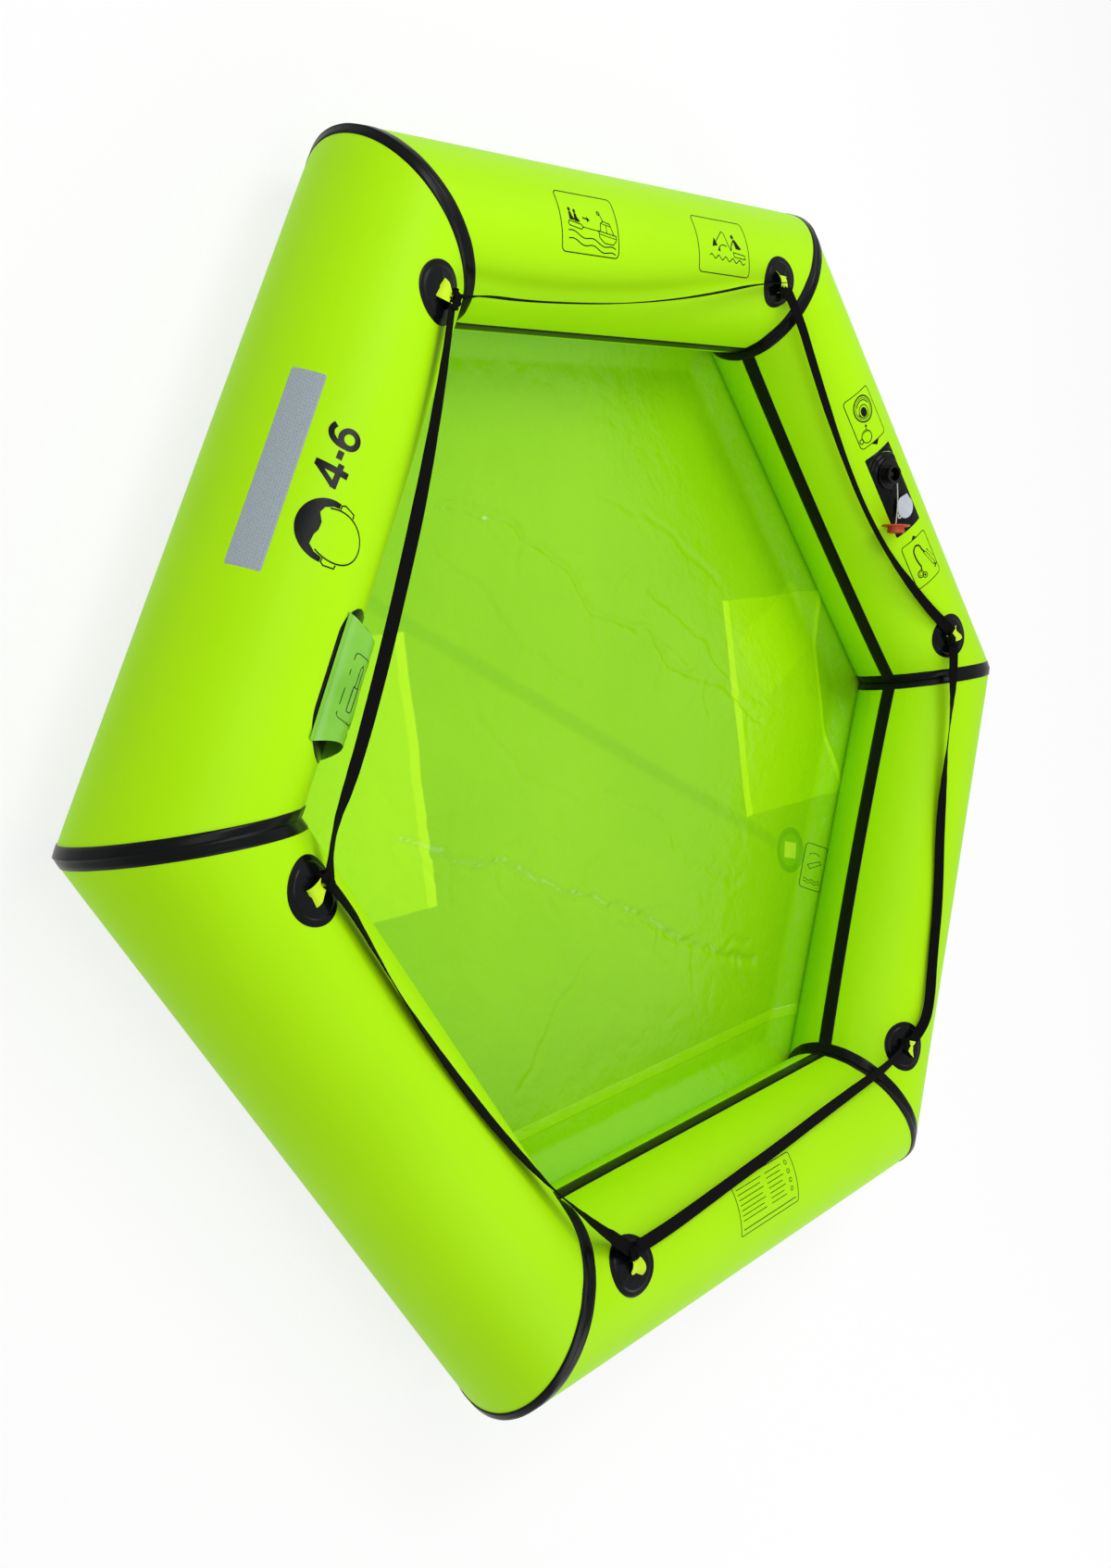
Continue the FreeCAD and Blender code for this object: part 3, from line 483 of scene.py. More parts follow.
def add_mitre_tape(corner):
    """Tape over the seam at the clockwise end of a side."""
    points = []
    for step in range(around):
        angle = 360 * step / around - 90
        for after, share, level in tape_columns:
            gap = share * mitre_half
            lift = (0.0002, tape_thickness, tape_thickness + tape_step)[level]
            lift += 0.0003 * noise_at(angle / 9.0, share * 3, corner * 4.1)
            if after:
                points.append(skin(next_side(corner), gap - seam_x(angle), angle, lift))
            else:
                points.append(skin(corner, seam_x(angle) - gap, angle, lift))
    count = len(tape_columns)
    faces = []
    for row in range(around):
        below = (row + 1) % around
        for column in range(count - 1):
            faces.append((row * count + column, below * count + column,
                          below * count + column + 1, row * count + column + 1))
    return add_mesh(f"corner_tape_{corner}", points, faces, "seam_tape", [f"mitre_tape_{corner}"])


# %% Inner tapes
seam_tape_angle = 3.0
seam_tape_half = degrees_of(0.0152)
# how far the tape bows down in the middle of a side, in degrees
seam_tape_bow = {3: 2.3, 4: 2.4}
tape_profile = [(-1.0, 0.0001), (-0.97, tape_thickness), (-0.5, tape_thickness), (0.0, tape_thickness),
                (0.5, tape_thickness), (0.97, tape_thickness), (1.0, 0.0001)]


def add_seam_tape(side):
    points = []
    count = 161
    for step in range(count):
        share = 2 * step / (count - 1) - 1
        for place, lift in tape_profile:
            bow = seam_tape_bow.get(side, 0.0) * (1 - share * share)
            angle = seam_tape_angle - bow + place * seam_tape_half
            reach = seam_x(angle) - mitre_half * 0.9
            waver = 0.0002 * noise_at(share * 40, place, side)
            points.append(skin(side, share * reach, angle, lift + waver))
    return add_mesh(f"inner_tape_{side}", points, grid_faces(count, len(tape_profile)), "seam_tape",
                    [f"seam_tape_{side}"])


for side in sides:
    add_mitre_tape(side)
    add_seam_tape(side)
print("tapes made")

# %% [markdown]
# ## The floor
# The floor is a thin film that lies on the ground and turns up at its edge, where it is welded
# to the tubes. A grid of triangles fills a hexagon exactly, so its rows run with the welds. The
# film never lies flat: it keeps the folds it was packed in, so jagged creases cross it, with a
# gentle unevenness between them. Each crease is a groove along a few chosen points, pushed about
# by noise so that it doesn't look ruled.

# %% Floor sizes and creases
weld_distance = apothem - tube_radius * cos_of(48) + 0.004
weld_height = axis_height - tube_radius * sin_of(48) + 0.002
flat_distance = weld_distance - 0.066
film_height = 0.0064
film_ease = 0.0066
# points in the raft's plane, depth of the groove and its half width, in metres
creases = [
    ([(-0.16, -0.49), (-0.124, -0.458), (-0.038, -0.407), (0.027, -0.334), (0.151, -0.269), (0.315, -0.141),
      (0.425, -0.089), (0.527, -0.022), (0.66, 0.075)], 0.0052, 0.012),
    ([(-0.557, -0.063), (-0.451, 0.048), (-0.381, 0.081), (-0.296, 0.135), (-0.179, 0.138), (-0.066, 0.254),
      (0.023, 0.253), (0.159, 0.374), (0.297, 0.427)], 0.0044, 0.011),
    ([(-0.483, -0.123), (-0.374, -0.074), (-0.247, -0.062), (-0.10, 0.02)], 0.0028, 0.010),
    ([(0.302, -0.267), (0.309, -0.401), (0.352, -0.559)], 0.0026, 0.010),
    ([(-0.122, 0.301), (0.05, 0.386), (0.227, 0.40)], 0.0030, 0.009),
    ([(0.10, -0.05), (0.22, 0.03), (0.36, 0.05), (0.50, 0.14)], 0.0026, 0.009),
    ([(-0.35, 0.30), (-0.20, 0.42), (-0.02, 0.50)], 0.0024, 0.011),
    ([(-0.22, -0.22), (-0.05, -0.20), (0.06, -0.12)], 0.0022, 0.010),
]
# Short side wrinkles leave the two long creases, by turns to the left and to the right: where they
# start on a stretch of the crease, how far they lean from it in radians, and half their length.
side_wrinkles = ((0.25, 0.8, 0.055), (0.70, -1.1, 0.040))
wrinkle_depth, wrinkle_half = 0.0024, 0.008


def step_from(place, heading, reach):
    return (place[0] + reach * math.cos(heading), place[1] + reach * math.sin(heading))


for line, depth, half in creases[:2]:
    for number, ((x1, y1), (x2, y2)) in enumerate(zip(line, line[1:])):
        for share, lean, reach in side_wrinkles:
            root = (x1 + (x2 - x1) * share, y1 + (y2 - y1) * share)
            heading = math.atan2(y2 - y1, x2 - x1) + lean + 0.5 * math.sin(5.0 * number)
            bend = step_from(root, heading, reach)
            tip = step_from(bend, heading - lean / 2, reach)
            creases.append(([root, bend, tip], wrinkle_depth, wrinkle_half))
print("creases", len(creases))


def hexagon_distance(x, y):
    return max(abs(x * cos_of(a) + y * sin_of(a)) for a in (30, 90, 150))


def flat_noise(x, y, scale, seed):
    return noise_at(x * scale, y * scale, seed)


def groove_depth(x, y):
    push_x = 0.011 * flat_noise(x, y, 24, 1.3) + 0.005 * flat_noise(x, y, 70, 5.1)
    push_y = 0.011 * flat_noise(x, y, 24, 8.7) + 0.005 * flat_noise(x, y, 70, 3.9)
    x, y = x + push_x, y + push_y
    total = 0.0
    for line, depth, half in creases:
        nearest = 1.0
        for (x1, y1), (x2, y2) in zip(line, line[1:]):
            dx, dy = x2 - x1, y2 - y1
            share = min(max(((x - x1) * dx + (y - y1) * dy) / (dx * dx + dy * dy), 0.0), 1.0)
            nearest = min(nearest, math.hypot(x - x1 - share * dx, y - y1 - share * dy))
        if nearest < 4 * half:
            groove = 1.35 * max(1 - nearest / half, 0.0)
            raised_sides = 0.35 * math.exp(-(nearest / half / 1.8) ** 2)
            total += depth * (groove - raised_sides)
    return min(total, film_ease)


# %% Floor film
def floor_point(x, y):
    far = hexagon_distance(x, y)
    rise = max(far - flat_distance, 0.0) / (weld_distance - flat_distance)
    height = film_height + (weld_height - film_height) * rise ** 1.15
    calm = 1 - blend_step(0.80, 1.0, rise)
    uneven = 0.0011 * flat_noise(x, y, 6, 0.3) + 0.0005 * flat_noise(x, y, 27, 4.0)
    height += calm * (film_ease + uneven - groove_depth(x, y))
    return Vector((x, y, height))


lattice = 136
spacing = weld_distance / cos_of(30) / lattice
index_of = {}
points = []
for i in range(-lattice, lattice + 1):
    for j in range(-lattice, lattice + 1):
        if abs(i + j) <= lattice:
            index_of[(i, j)] = len(points)
            points.append(floor_point(spacing * (i + j / 2), spacing * j * math.sqrt(3) / 2))
faces = []
for (i, j), first in index_of.items():
    right, up, left_up = index_of.get((i + 1, j)), index_of.get((i, j + 1)), index_of.get((i - 1, j + 1))
    if right is not None and up is not None:
        faces.append((first, right, up))
    if up is not None and left_up is not None:
        faces.append((first, up, left_up))
floor = add_mesh("floor_film", points, faces, "floor_film", ["floor_sheet", "floor_end_panel"])

# %% [markdown]
# ## Ballast pockets
# Under the floor, towards two corners, hang bags that fill with water and steady the raft. On the
# ground they lie folded flat. Each is a flat closed shell with a thicker hem round its open side,
# and a little unevenness in both of its layers, so that it looks like two sheets of cloth.

# %% Ballast pockets
pocket_inner = 0.442
pocket_outer = 0.770
pocket_half = 0.228
pocket_hem = 0.014
pocket_room = flat_distance - 0.006


def pocket_end(y):
    return min(pocket_outer, (pocket_room - abs(y) / 2) / cos_of(30))


def add_pocket(name, azimuth, hides):
    turn = Matrix.Rotation(math.radians(azimuth), 3, "Z")
    rows, columns = 49, 65
    layers = []
    for layer in (0, 1):
        for row in range(rows):
            for column in range(columns):
                y = pocket_half * (2 * column / (columns - 1) - 1)
                x = pocket_inner + (pocket_end(y) - pocket_inner) * row / (rows - 1)
                in_hem = x < pocket_inner + pocket_hem or abs(y) > pocket_half - pocket_hem
                edge = min(row, column, columns - 1 - column, rows - 1 - row)
                crumple = noise_at(x * 26, y * 26, azimuth + layer)
                if layer:
                    height = 0.0046 + 0.0003 * crumple
                else:
                    height = 0.0004 if in_hem else 0.0016 + 0.0009 * crumple
                if edge == 0:
                    height = 0.0026
                layers.append(turn @ Vector((x, y, height)))
    faces = grid_faces(rows, columns)
    above = [tuple(i + rows * columns for i in reversed(face)) for face in faces]
    return add_mesh(name, layers, faces + above, "pocket_fabric", hides)


for name, azimuth, node in (("pocket_a", 60, "ballast_pocket_a"), ("pocket_b", 240, "ballast_pocket_b")):
    pocket = add_pocket(name, azimuth, [node])
print("points in a pocket", len(pocket.data.vertices))

# %% [markdown]
# ## Righting gear
# A strap under the floor lets one person pull an upturned raft back over. It runs from side to
# side between two round patches, each with a flat loop. It is seen faintly through the film in
# the picture, and fully from below.

# %% Righting strap, patches and loops
righting_reach = 0.655
righting_way = Vector((cos_of(30), sin_of(30), 0))
righting_side = Vector((-righting_way.y, righting_way.x, 0))


def add_flat_disc(name, centre, radius, low, high, finish, hides):
    count = 64
    points = []
    profile = [(0.02, low), (0.5, low), (0.96, low), (1.0, (low + high) / 2),
               (0.96, high), (0.5, high), (0.02, high)]
    for share, height in profile:
        for step in range(count):
            turn = 2 * math.pi * step / count
            points.append(Vector((centre.x + radius * share * math.cos(turn),
                                  centre.y + radius * share * math.sin(turn), height)))
    faces = capped_faces(len(profile), count)
    return add_mesh(name, points, faces, finish, hides)


# a flat loop seen from the side: along the strap, and height
righting_loop = [(-0.0145, 0.0029), (0.0, 0.0029), (0.0138, 0.0029), (0.0147, 0.0032),
                 (0.0138, 0.0036), (0.0, 0.0036), (-0.0145, 0.0036)]
for name, end in (("near", -1), ("far", 1)):
    centre = righting_way * (righting_reach * end)
    add_flat_disc(f"righting_disc_{name}", centre, 0.047, 0.0039, 0.0049, "righting_fabric",
                  ["righting_patches"])
    line = [centre + righting_way * along + Vector((0, 0, height)) for along, height in righting_loop]
    add_band(f"righting_loop_{name}", line, [righting_side] * len(line), [0.029] * len(line), 0.0005,
             "bright_loop", ["righting_loops"])
half_strap = righting_reach + 0.0075
line = []
for step in range(121):
    share = 2 * step / 120 - 1
    waver = 0.0002 * noise_at(share * 30, 0.0, 7.0)
    line.append(righting_way * (half_strap * share) + Vector((0, 0, 0.0018 + waver)))
add_band("righting_strap_run", line, [righting_side] * len(line), [0.025] * len(line), 0.0012,
         "righting_fabric", ["righting_strap"])
print("righting gear made")

# %% [markdown]
# ## Lifeline patches
# Each length of webbing ends in a hitch through a bright fabric loop, and the loop is welded to
# a round rubber patch. The patch has a faint raised ring near its rim. The pull of the line lifts
# its middle into a low tent with a few ridges, so it isn't a plain disc.

# %% Lifeline patches
patch_x = 0.366
patch_radius = 0.049
patch_angles = {1: 75.0, 2: 73.8, 3: 70.8, 4: 71.0, 5: 73.6, 6: 73.4}
# share of the radius, and lift
patch_profile = [(1.0, 0.0001), (0.995, 0.0010), (0.97, 0.0012), (0.90, 0.0012), (0.83, 0.0012),
                 (0.80, 0.0014), (0.785, 0.0021), (0.76, 0.0023)]
patch_profile += [(round(0.70 - 0.08 * step, 2), 0.0022) for step in range(9)]


def add_round_patch(name, side, x, angle, radius, profile, hides, finish="black_patch", tent=None):
    """A disc on the skin. The profile is a list of (share of the radius, lift)."""
    count = 72
    points = []
    for share, lift in profile:
        for step in range(count):
            turn = 2 * math.pi * step / count
            u = radius * share * math.cos(turn)
            v = radius * share * math.sin(turn)
            extra = tent(u, v) if tent else 0.0
            points.append(skin(side, x + u, angle + degrees_of(v), lift + extra))
    faces = grid_faces(len(profile), count, closed=True)
    faces.append(tuple(range((len(profile) - 1) * count, len(profile) * count)))
    return add_mesh(name, points, faces, finish, hides)


def patch_tent(side):
    def lifted(u, v):
        pull = 0.0012 * math.exp(-((u / 0.017) ** 2 + ((v + 0.006) / 0.020) ** 2))
        away = math.hypot(u, v) / patch_radius
        ridges = 0.0
        for number in range(3):
            way = 0.5 * side + 2.1 * number
            off = u * math.sin(way) - v * math.cos(way)
            ahead = u * math.cos(way) + v * math.sin(way)
            ridges += 0.0009 * math.exp(-(off / 0.0028) ** 2) * blend_step(-0.002, 0.008, ahead)
        return pull + ridges * (1 - blend_step(0.55, 0.78, away))
    return lifted


for side in sides:
    add_round_patch(f"lifeline_disc_{side}", side, patch_x, patch_angles[side], patch_radius, patch_profile,
                    [f"lifeline_patch_{side}"], tent=patch_tent(side))
print("patches made")

# %% [markdown]
# ## Loops
# The loop is a strip of bright film folded over itself. It stands up from the middle of the patch
# like a small tent and is squeezed where the webbing goes through, so it is made as a band with a
# sharp fold along its middle, wide at its outer foot and narrow towards the hitch.

# %% Lifeline loops
loop_places = [(80.2, 0.0024), (79.6, 0.0052), (77.0, 0.0104), (73.4, 0.0128), (69.4, 0.0126), (66.4, 0.0092),
               (65.2, 0.0036)]
for side in sides:
    control = [on_tube(side, patch_x + 0.0025 * math.sin(side * 1.7 + n), angle, tube_radius + lift)
               for n, (angle, lift) in enumerate(loop_places)]
    line = spline_line(control, 8)
    reached = lengths_along(line)
    sideways = side_turn(side) @ Vector((1, 0, 0))
    upward = out_of_tube(side, 72)
    across = []
    widths = []
    for step in reached:
        share = step / reached[-1]
        across.append(sideways + upward * (0.30 * math.sin(2.2 * side + 3 * share)))
        widths.append(0.031 - 0.014 * blend_step(0.15, 0.8, share))
    add_band(f"bright_loop_{side}", line, across, widths, 0.0012, "bright_loop",
             [f"lifeline_loop_{side}"], fold=-0.0034)
print("loops made")

# %% [markdown]
# ## Hitches
# Where two lengths of webbing meet, they are hitched through the loop. A plain lump would show at
# once that nothing is tied, so a hitch is made of real turns of narrow webbing: two that lie
# beside each other and one that crosses over them.

# %% Hitches
# shift along the tube, tilt, half width, half height, width of the webbing
hitch_steps = 40
hitch_turns = [(-0.0065, 16.0, 0.0098, 0.0068, 0.0125), (0.0065, -14.0, 0.0104, 0.0072, 0.0130),
               (0.0, 62.0, 0.0085, 0.0085, 0.0110)]


def add_hitch(side):
    centre = knot_centre(side)
    along = side_turn(side) @ Vector((1, 0, 0))
    upward = out_of_tube(side, knot_place[1]).normalized()
    sideways = upward.cross(along).normalized()
    for number, (shift, tilt, wide, high, width) in enumerate(hitch_turns):
        axis = (along * cos_of(tilt) + sideways * sin_of(tilt)).normalized()
        across_way = upward.cross(axis).normalized()
        line = []
        for step in range(hitch_steps + 1):
            turn = 2 * math.pi * (step / hitch_steps) * 1.04 + 0.6 * number
            swell = 1 + 0.06 * math.sin(3 * turn + side)
            line.append(centre + along * shift + across_way * (wide * swell * math.cos(turn))
                        + upward * (high * swell * math.sin(turn))
                        + axis * (0.004 * (step / hitch_steps - 0.5)))
        widths = [width * (1 + 0.12 * math.sin(step / hitch_steps * 6.28 * 2 + number))
                  for step in range(hitch_steps + 1)]
        add_band(f"hitch_{side}_{number}", line, [axis] * len(line), widths, 0.0018, "black_webbing",
                 ["lifeline_knots"])


for side in sides:
    add_hitch(side)
print("hitches made")

# %% [markdown]
# ## Patches with straight sides
# The knife sleeve, the valve, the reflective tape and the gas bottle all sit on patches that are
# longer than wide. One helper lays such a patch on the skin, with round or square corners and,
# where something pushes it up, with a ripple.

# %% Straight patch helper


def add_long_patch(name, side, x_range, angle_range, lift, finish, hides, corner=1.0, ripple=None):
    """Corner is the corner radius as a share of half the patch's width."""
    half_length = (x_range[1] - x_range[0]) / 2
    half_width = math.radians(angle_range[1] - angle_range[0]) * tube_radius / 2
    middle_x = (x_range[0] + x_range[1]) / 2
    middle_angle = (angle_range[0] + angle_range[1]) / 2
    radius = half_width * corner
    columns, rows = 97, 41
    points = []
    for column in range(columns):
        u = half_length * (2 * column / (columns - 1) - 1)
        over = max(abs(u) - (half_length - radius), 0.0)
        limit = max(half_width - radius + math.sqrt(max(radius ** 2 - over ** 2, 0.0)), 0.0003)
        for row in range(rows):
            share = 2 * row / (rows - 1) - 1
            v = limit * share
            edge = min(1 - abs(share), 1 - abs(u) / half_length)
            height = lift if edge > 0.004 else 0.0001
            if ripple:
                height += ripple(u, v) * blend_step(0.0, 0.12, edge)
            points.append(skin(side, middle_x + u, middle_angle + degrees_of(v), height))
    return add_mesh(name, points, grid_faces(columns, rows), finish, hides)


# %% [markdown]
# ## The knife sleeve
# A strip of bright film is welded along both long edges to a black patch, so that it stands up
# as a flat tunnel for a safety knife. Its ends are open and cut hollow. The film is thin and
# springy, so it has a few long dents and one sharp fold near its lower end. Its surface is a
# function, because the drawing on it has to lie on the same dents.

# %% Knife sleeve
sleeve_side = 1
add_long_patch("sleeve_backing", sleeve_side, (-0.354, -0.127), (22.0, 71.0), 0.0009, "black_patch",
               ["knife_sleeve_patch"])
sleeve_start, sleeve_end = -0.338, -0.150
sleeve_low, sleeve_high = 26.0, 64.5
sleeve_bulge = 0.0258
sleeve_hem = degrees_of(0.009)


def on_sleeve(x, angle, lift=0.0):
    across_share = min(max((angle - sleeve_low) / (sleeve_high - sleeve_low), 0.0), 1.0)
    share = (x - sleeve_start) / (sleeve_end - sleeve_start)
    bulge = math.sin(math.pi * across_share) ** 0.75
    dent = 0.0022 * noise_at(share * 4, angle / 9, 1.7)
    dent += 0.0009 * noise_at(share * 11, angle / 5, 6.0)
    fold = 0.0026 * max(1 - abs(share - 0.17 - 0.10 * across_share) / 0.035, 0.0)
    hem = 0.0
    if angle < sleeve_low or angle > sleeve_high:
        away = (sleeve_low - angle if angle < sleeve_low else angle - sleeve_high) / sleeve_hem
        hem = 0.0005 * max(math.sin(away * math.pi * 2.5), 0.0)
    return skin(sleeve_side, x, angle, 0.0018 + bulge * (sleeve_bulge + dent - fold) + hem + lift)


sleeve_angles = [sleeve_low - sleeve_hem * (1 - step / 10) for step in range(10)]
sleeve_angles += [sleeve_low + (sleeve_high - sleeve_low) * step / 48 for step in range(49)]
sleeve_angles += [sleeve_high + sleeve_hem * step / 10 for step in range(1, 11)]
points = []
for column in range(97):
    for angle in sleeve_angles:
        across_share = (angle - sleeve_low) / (sleeve_high - sleeve_low)
        hollow = 0.016 * max(1 - (2 * across_share - 1) ** 2, 0.0)
        start = sleeve_start + hollow
        end = sleeve_end - hollow + 0.023 * blend_step(0.42, 0.0, across_share)
        points.append(on_sleeve(start + (end - start) * column / 96, angle))
add_mesh("knife_tunnel", points, grid_faces(97, len(sleeve_angles)), "sleeve_fabric", ["knife_sleeve"])
print("sleeve points", len(points))

# %% [markdown]
# ## Reflective tape and the valve's patch
# The reflective tape is thin and stiff and lies flat on the outside of side 1. The valve's patch
# is a piece of black rubberised cloth that the round flange pushes up, so it is wrinkled in
# rings round the valve. A round hole is cut in it for the valve's neck.

# %% Tape and valve patch
add_long_patch("reflector", 1, (-0.157, 0.149), (126.3, 146.3), 0.0004, "reflective_film",
               ["reflective_tape"], corner=0.08)


def valve_ripple(u, v):
    away = math.hypot(u + 0.038, v)
    side_share = blend_step(0.2, -0.9, (u + 0.038) / max(away, 0.001)) + 0.25
    fade = blend_step(0.024, 0.034, away) * (1 - blend_step(0.045, 0.080, away))
    wave = math.sin(away * 620 + 2.4 * noise_at(u * 30, v * 30, 2.0))
    loose = 0.0009 * noise_at(u * 45, v * 45, 9.0)
    return 0.0016 * fade * side_share * (0.6 + wave) + loose * blend_step(0.03, 0.05, away)


valve_patch = add_long_patch("valve_backing", valve_side, (-0.097, 0.093), (59.0, 91.5), 0.0010,
                             "black_patch", ["valve_base_patch"], corner=0.06, ripple=valve_ripple)
work = bmesh.new()
work.from_mesh(valve_patch.data)
hidden = [face for face in work.faces
          if (face.calc_center_median() - valve_mouth).length < valve_hole + 0.0005]
bmesh.ops.delete(work, geom=hidden, context="FACES")
work.to_mesh(valve_patch.data)
work.free()
print("valve patch faces", len(valve_patch.data.polygons))

# %% [markdown]
# ## The gas bottle's holding
# The bottle lies low on the outside of side 5, against a cloth cradle, in two slings. A sling is
# a band that leaves the cradle, touches the bottle, goes round its far side and comes back. The
# touching points follow from the bottle's radius and the distance of the sling's foot.

# %% Cradle, slings and inlet patch
bottle_side = 5
bottle_x = -0.020
bottle_radius = 0.040
bottle_angle = 212.53
bottle_y = apothem + 0.1561
bottle_z = 0.046
add_long_patch("bottle_bed", bottle_side, (bottle_x - 0.120, bottle_x + 0.120),
               (bottle_angle - 24.0, bottle_angle + 24.0), 0.0009, "black_webbing",
               ["bottle_cradle"], corner=0.2)
add_round_patch("inlet_disc", bottle_side, 0.166, bottle_angle, 0.036,
                [(1.0, 0.0001), (0.98, 0.0010), (0.7, 0.0011), (0.4, 0.0011), (0.1, 0.0011)],
                ["inlet_patch"], finish="black_webbing")
sling_radius = bottle_radius + 0.0009
# how far from the tube's axis the slings start, and how many degrees to either side of the bottle
sling_foot, sling_spread = 0.1462, 19.0


def sling_points(x):
    outward = math.atan2(bottle_z - axis_height, bottle_y - apothem)
    feet = []
    for sign in (1, -1):
        turn = math.radians(bottle_angle + sign * sling_spread)
        foot = (apothem - sling_foot * math.cos(turn), axis_height + sling_foot * math.sin(turn))
        way = math.atan2(foot[1] - bottle_z, foot[0] - bottle_y)
        lean = math.acos(sling_radius / math.hypot(foot[0] - bottle_y, foot[1] - bottle_z))
        touches = [way + lean, way - lean]
        touch = max(touches, key=lambda angle: math.cos(angle - outward))
        feet.append((foot, touch))
    first, last = feet[0][1], feet[1][1]
    span = (last - first + math.pi) % (2 * math.pi) - math.pi
    middle_way = math.cos(first + span / 2 - outward)
    if middle_way < 0:
        span -= math.copysign(2 * math.pi, span)
    flat = [feet[0][0]]
    for step in range(33):
        turn = first + span * step / 32
        flat.append((bottle_y + sling_radius * math.cos(turn), bottle_z + sling_radius * math.sin(turn)))
    flat.append(feet[1][0])
    return [side_turn(bottle_side) @ Vector((x, y, z)) for y, z in flat]


for name, sign in (("low", -1), ("high", 1)):
    line = sling_points(bottle_x + sign * 0.075)
    across = [side_turn(bottle_side) @ Vector((1, 0, 0))] * len(line)
    add_band(f"sling_{name}", line, across, [0.030] * len(line), 0.0014, "black_webbing", ["bottle_slings"])
print("slings made, each", round(lengths_along(line)[-1], 3))

# %% [markdown]
# ## Drawing on fabric
# The raft carries small line drawings that show how to use it, and a large figure for how many
# people it holds. Ink has no thickness to speak of, so each drawing is a flat mesh that lies a
# quarter of a millimetre above the fabric. It is drawn on a plane in millimetres first, cut into
# narrow strips so that it can bend, and then each of its points is moved to the skin.

# %% Drawing helpers


def stroke(points, width=1.8, closed=False):
    """Quads that follow a line of flat points, mitred at its corners."""
    line = [Vector(p) for p in points]
    count = len(line)
    rims = []
    for index, point in enumerate(line):
        before = line[index - 1] if closed or index > 0 else point
        after = line[(index + 1) % count] if closed or index < count - 1 else point
        ahead = (after - point) if (after - point).length > 1e-6 else (point - before)
        behind = (point - before) if (point - before).length > 1e-6 else ahead
        left_ahead = Vector((-ahead.y, ahead.x)).normalized()
        left_behind = Vector((-behind.y, behind.x)).normalized()
        normal = (left_ahead + left_behind).normalized()
        rim = normal * (width / 2 / max(normal.dot(left_ahead), 0.4))
        rims.append((point + rim, point - rim))
    quads = []
    for index in range(count if closed else count - 1):
        a, b = rims[index], rims[(index + 1) % count]
        quads.append([a[0], a[1], b[1], b[0]])
    return quads


def arc(x, y, wide, high, start=0.0, end=360.0, steps=32):
    return [(x + wide * cos_of(start + (end - start) * n / steps),
             y + high * sin_of(start + (end - start) * n / steps)) for n in range(steps + 1)]


def ring(x, y, radius, width=1.8):
    return stroke(arc(x, y, radius, radius)[:-1], width, closed=True)


def card_outline(wide, high, corner=8.0, width=1.8):
    points = []
    for x, y, start in ((1, 1, 0), (-1, 1, 90), (-1, -1, 180), (1, -1, 270)):
        points += arc(x * (wide / 2 - corner), y * (high / 2 - corner), corner, corner, start, start + 90, 8)
    return stroke(points, width, closed=True)


def wave_line(x1, x2, y1, y2, swing, turns, width=1.8):
    points = []
    for n in range(49):
        share = n / 48
        points.append((x1 + (x2 - x1) * share,
                       y1 + (y2 - y1) * share + swing * math.sin(2 * math.pi * turns * share)))
    return stroke(points, width)


# %% Laying a drawing on the fabric


def tube_place(side, x, angle, turn=0.0):
    """Where a flat point of a drawing goes, for a drawing centred at a place and turned."""
    def place(u, v, lift):
        cosine, sine = cos_of(turn), sin_of(turn)
        along = (u * cosine - v * sine) * millimetre
        round_it = (u * sine + v * cosine) * millimetre
        return skin(side, x + along, angle + degrees_of(round_it), lift)
    return place


def add_print(name, shapes, place, turn=0.0, finish="black_patch", step=5.0, lift=0.00028):
    work = bmesh.new()
    # each shape lies a hair above the one before it, so that two that cross don't flicker
    for number, shape in enumerate(shapes):
        corners = [work.verts.new((p[0], p[1], 0.004 * (number % 24))) for p in shape]
        work.faces.new(corners)
    reach = max(max(abs(v.co.x), abs(v.co.y)) for v in work.verts)
    bend = Vector((sin_of(turn), cos_of(turn), 0))
    cut = -math.ceil(1.42 * reach / step) * step
    while cut < 1.42 * reach:
        parts = work.verts[:] + work.edges[:] + work.faces[:]
        bmesh.ops.bisect_plane(work, geom=parts, dist=0.0001, plane_co=bend * cut, plane_no=bend)
        cut += step
    bmesh.ops.triangulate(work, faces=[face for face in work.faces if len(face.verts) > 4])
    for vertex in work.verts:
        vertex.co = place(vertex.co.x, vertex.co.y, lift + vertex.co.z * millimetre)
    mesh = bpy.data.meshes.new(name)
    work.to_mesh(mesh)
    work.free()
    for polygon in mesh.polygons:
        middle = Vector((polygon.center.x, polygon.center.y, 0))
        outward = polygon.center - nearest_axis(middle)
        if polygon.normal.dot(outward) < 0:
            polygon.flip()
    return add_piece(name, mesh, finish)


def nearest_axis(point):
    """The nearest place on the tube's axis, seen from above."""
    way = math.atan2(point.y, point.x)
    sector = round((math.degrees(way) - 30) / 60) * 60 + 30
    normal = Vector((cos_of(sector), sin_of(sector), 0))
    return point + normal * (apothem - point.dot(normal)) + Vector((0, 0, axis_height))


print("a card outline has", len(card_outline(80, 100)), "quads")

# %% [markdown]
# ## The drawings by the valve
# Two cards stand beside the valve. One shows its cap going on to it, the other a hand pump with
# its hose. Each has a small triangle that points at the valve. They are plain line drawings, and
# on this side of the ring their upper edge points back along the tube, hence the quarter turn.

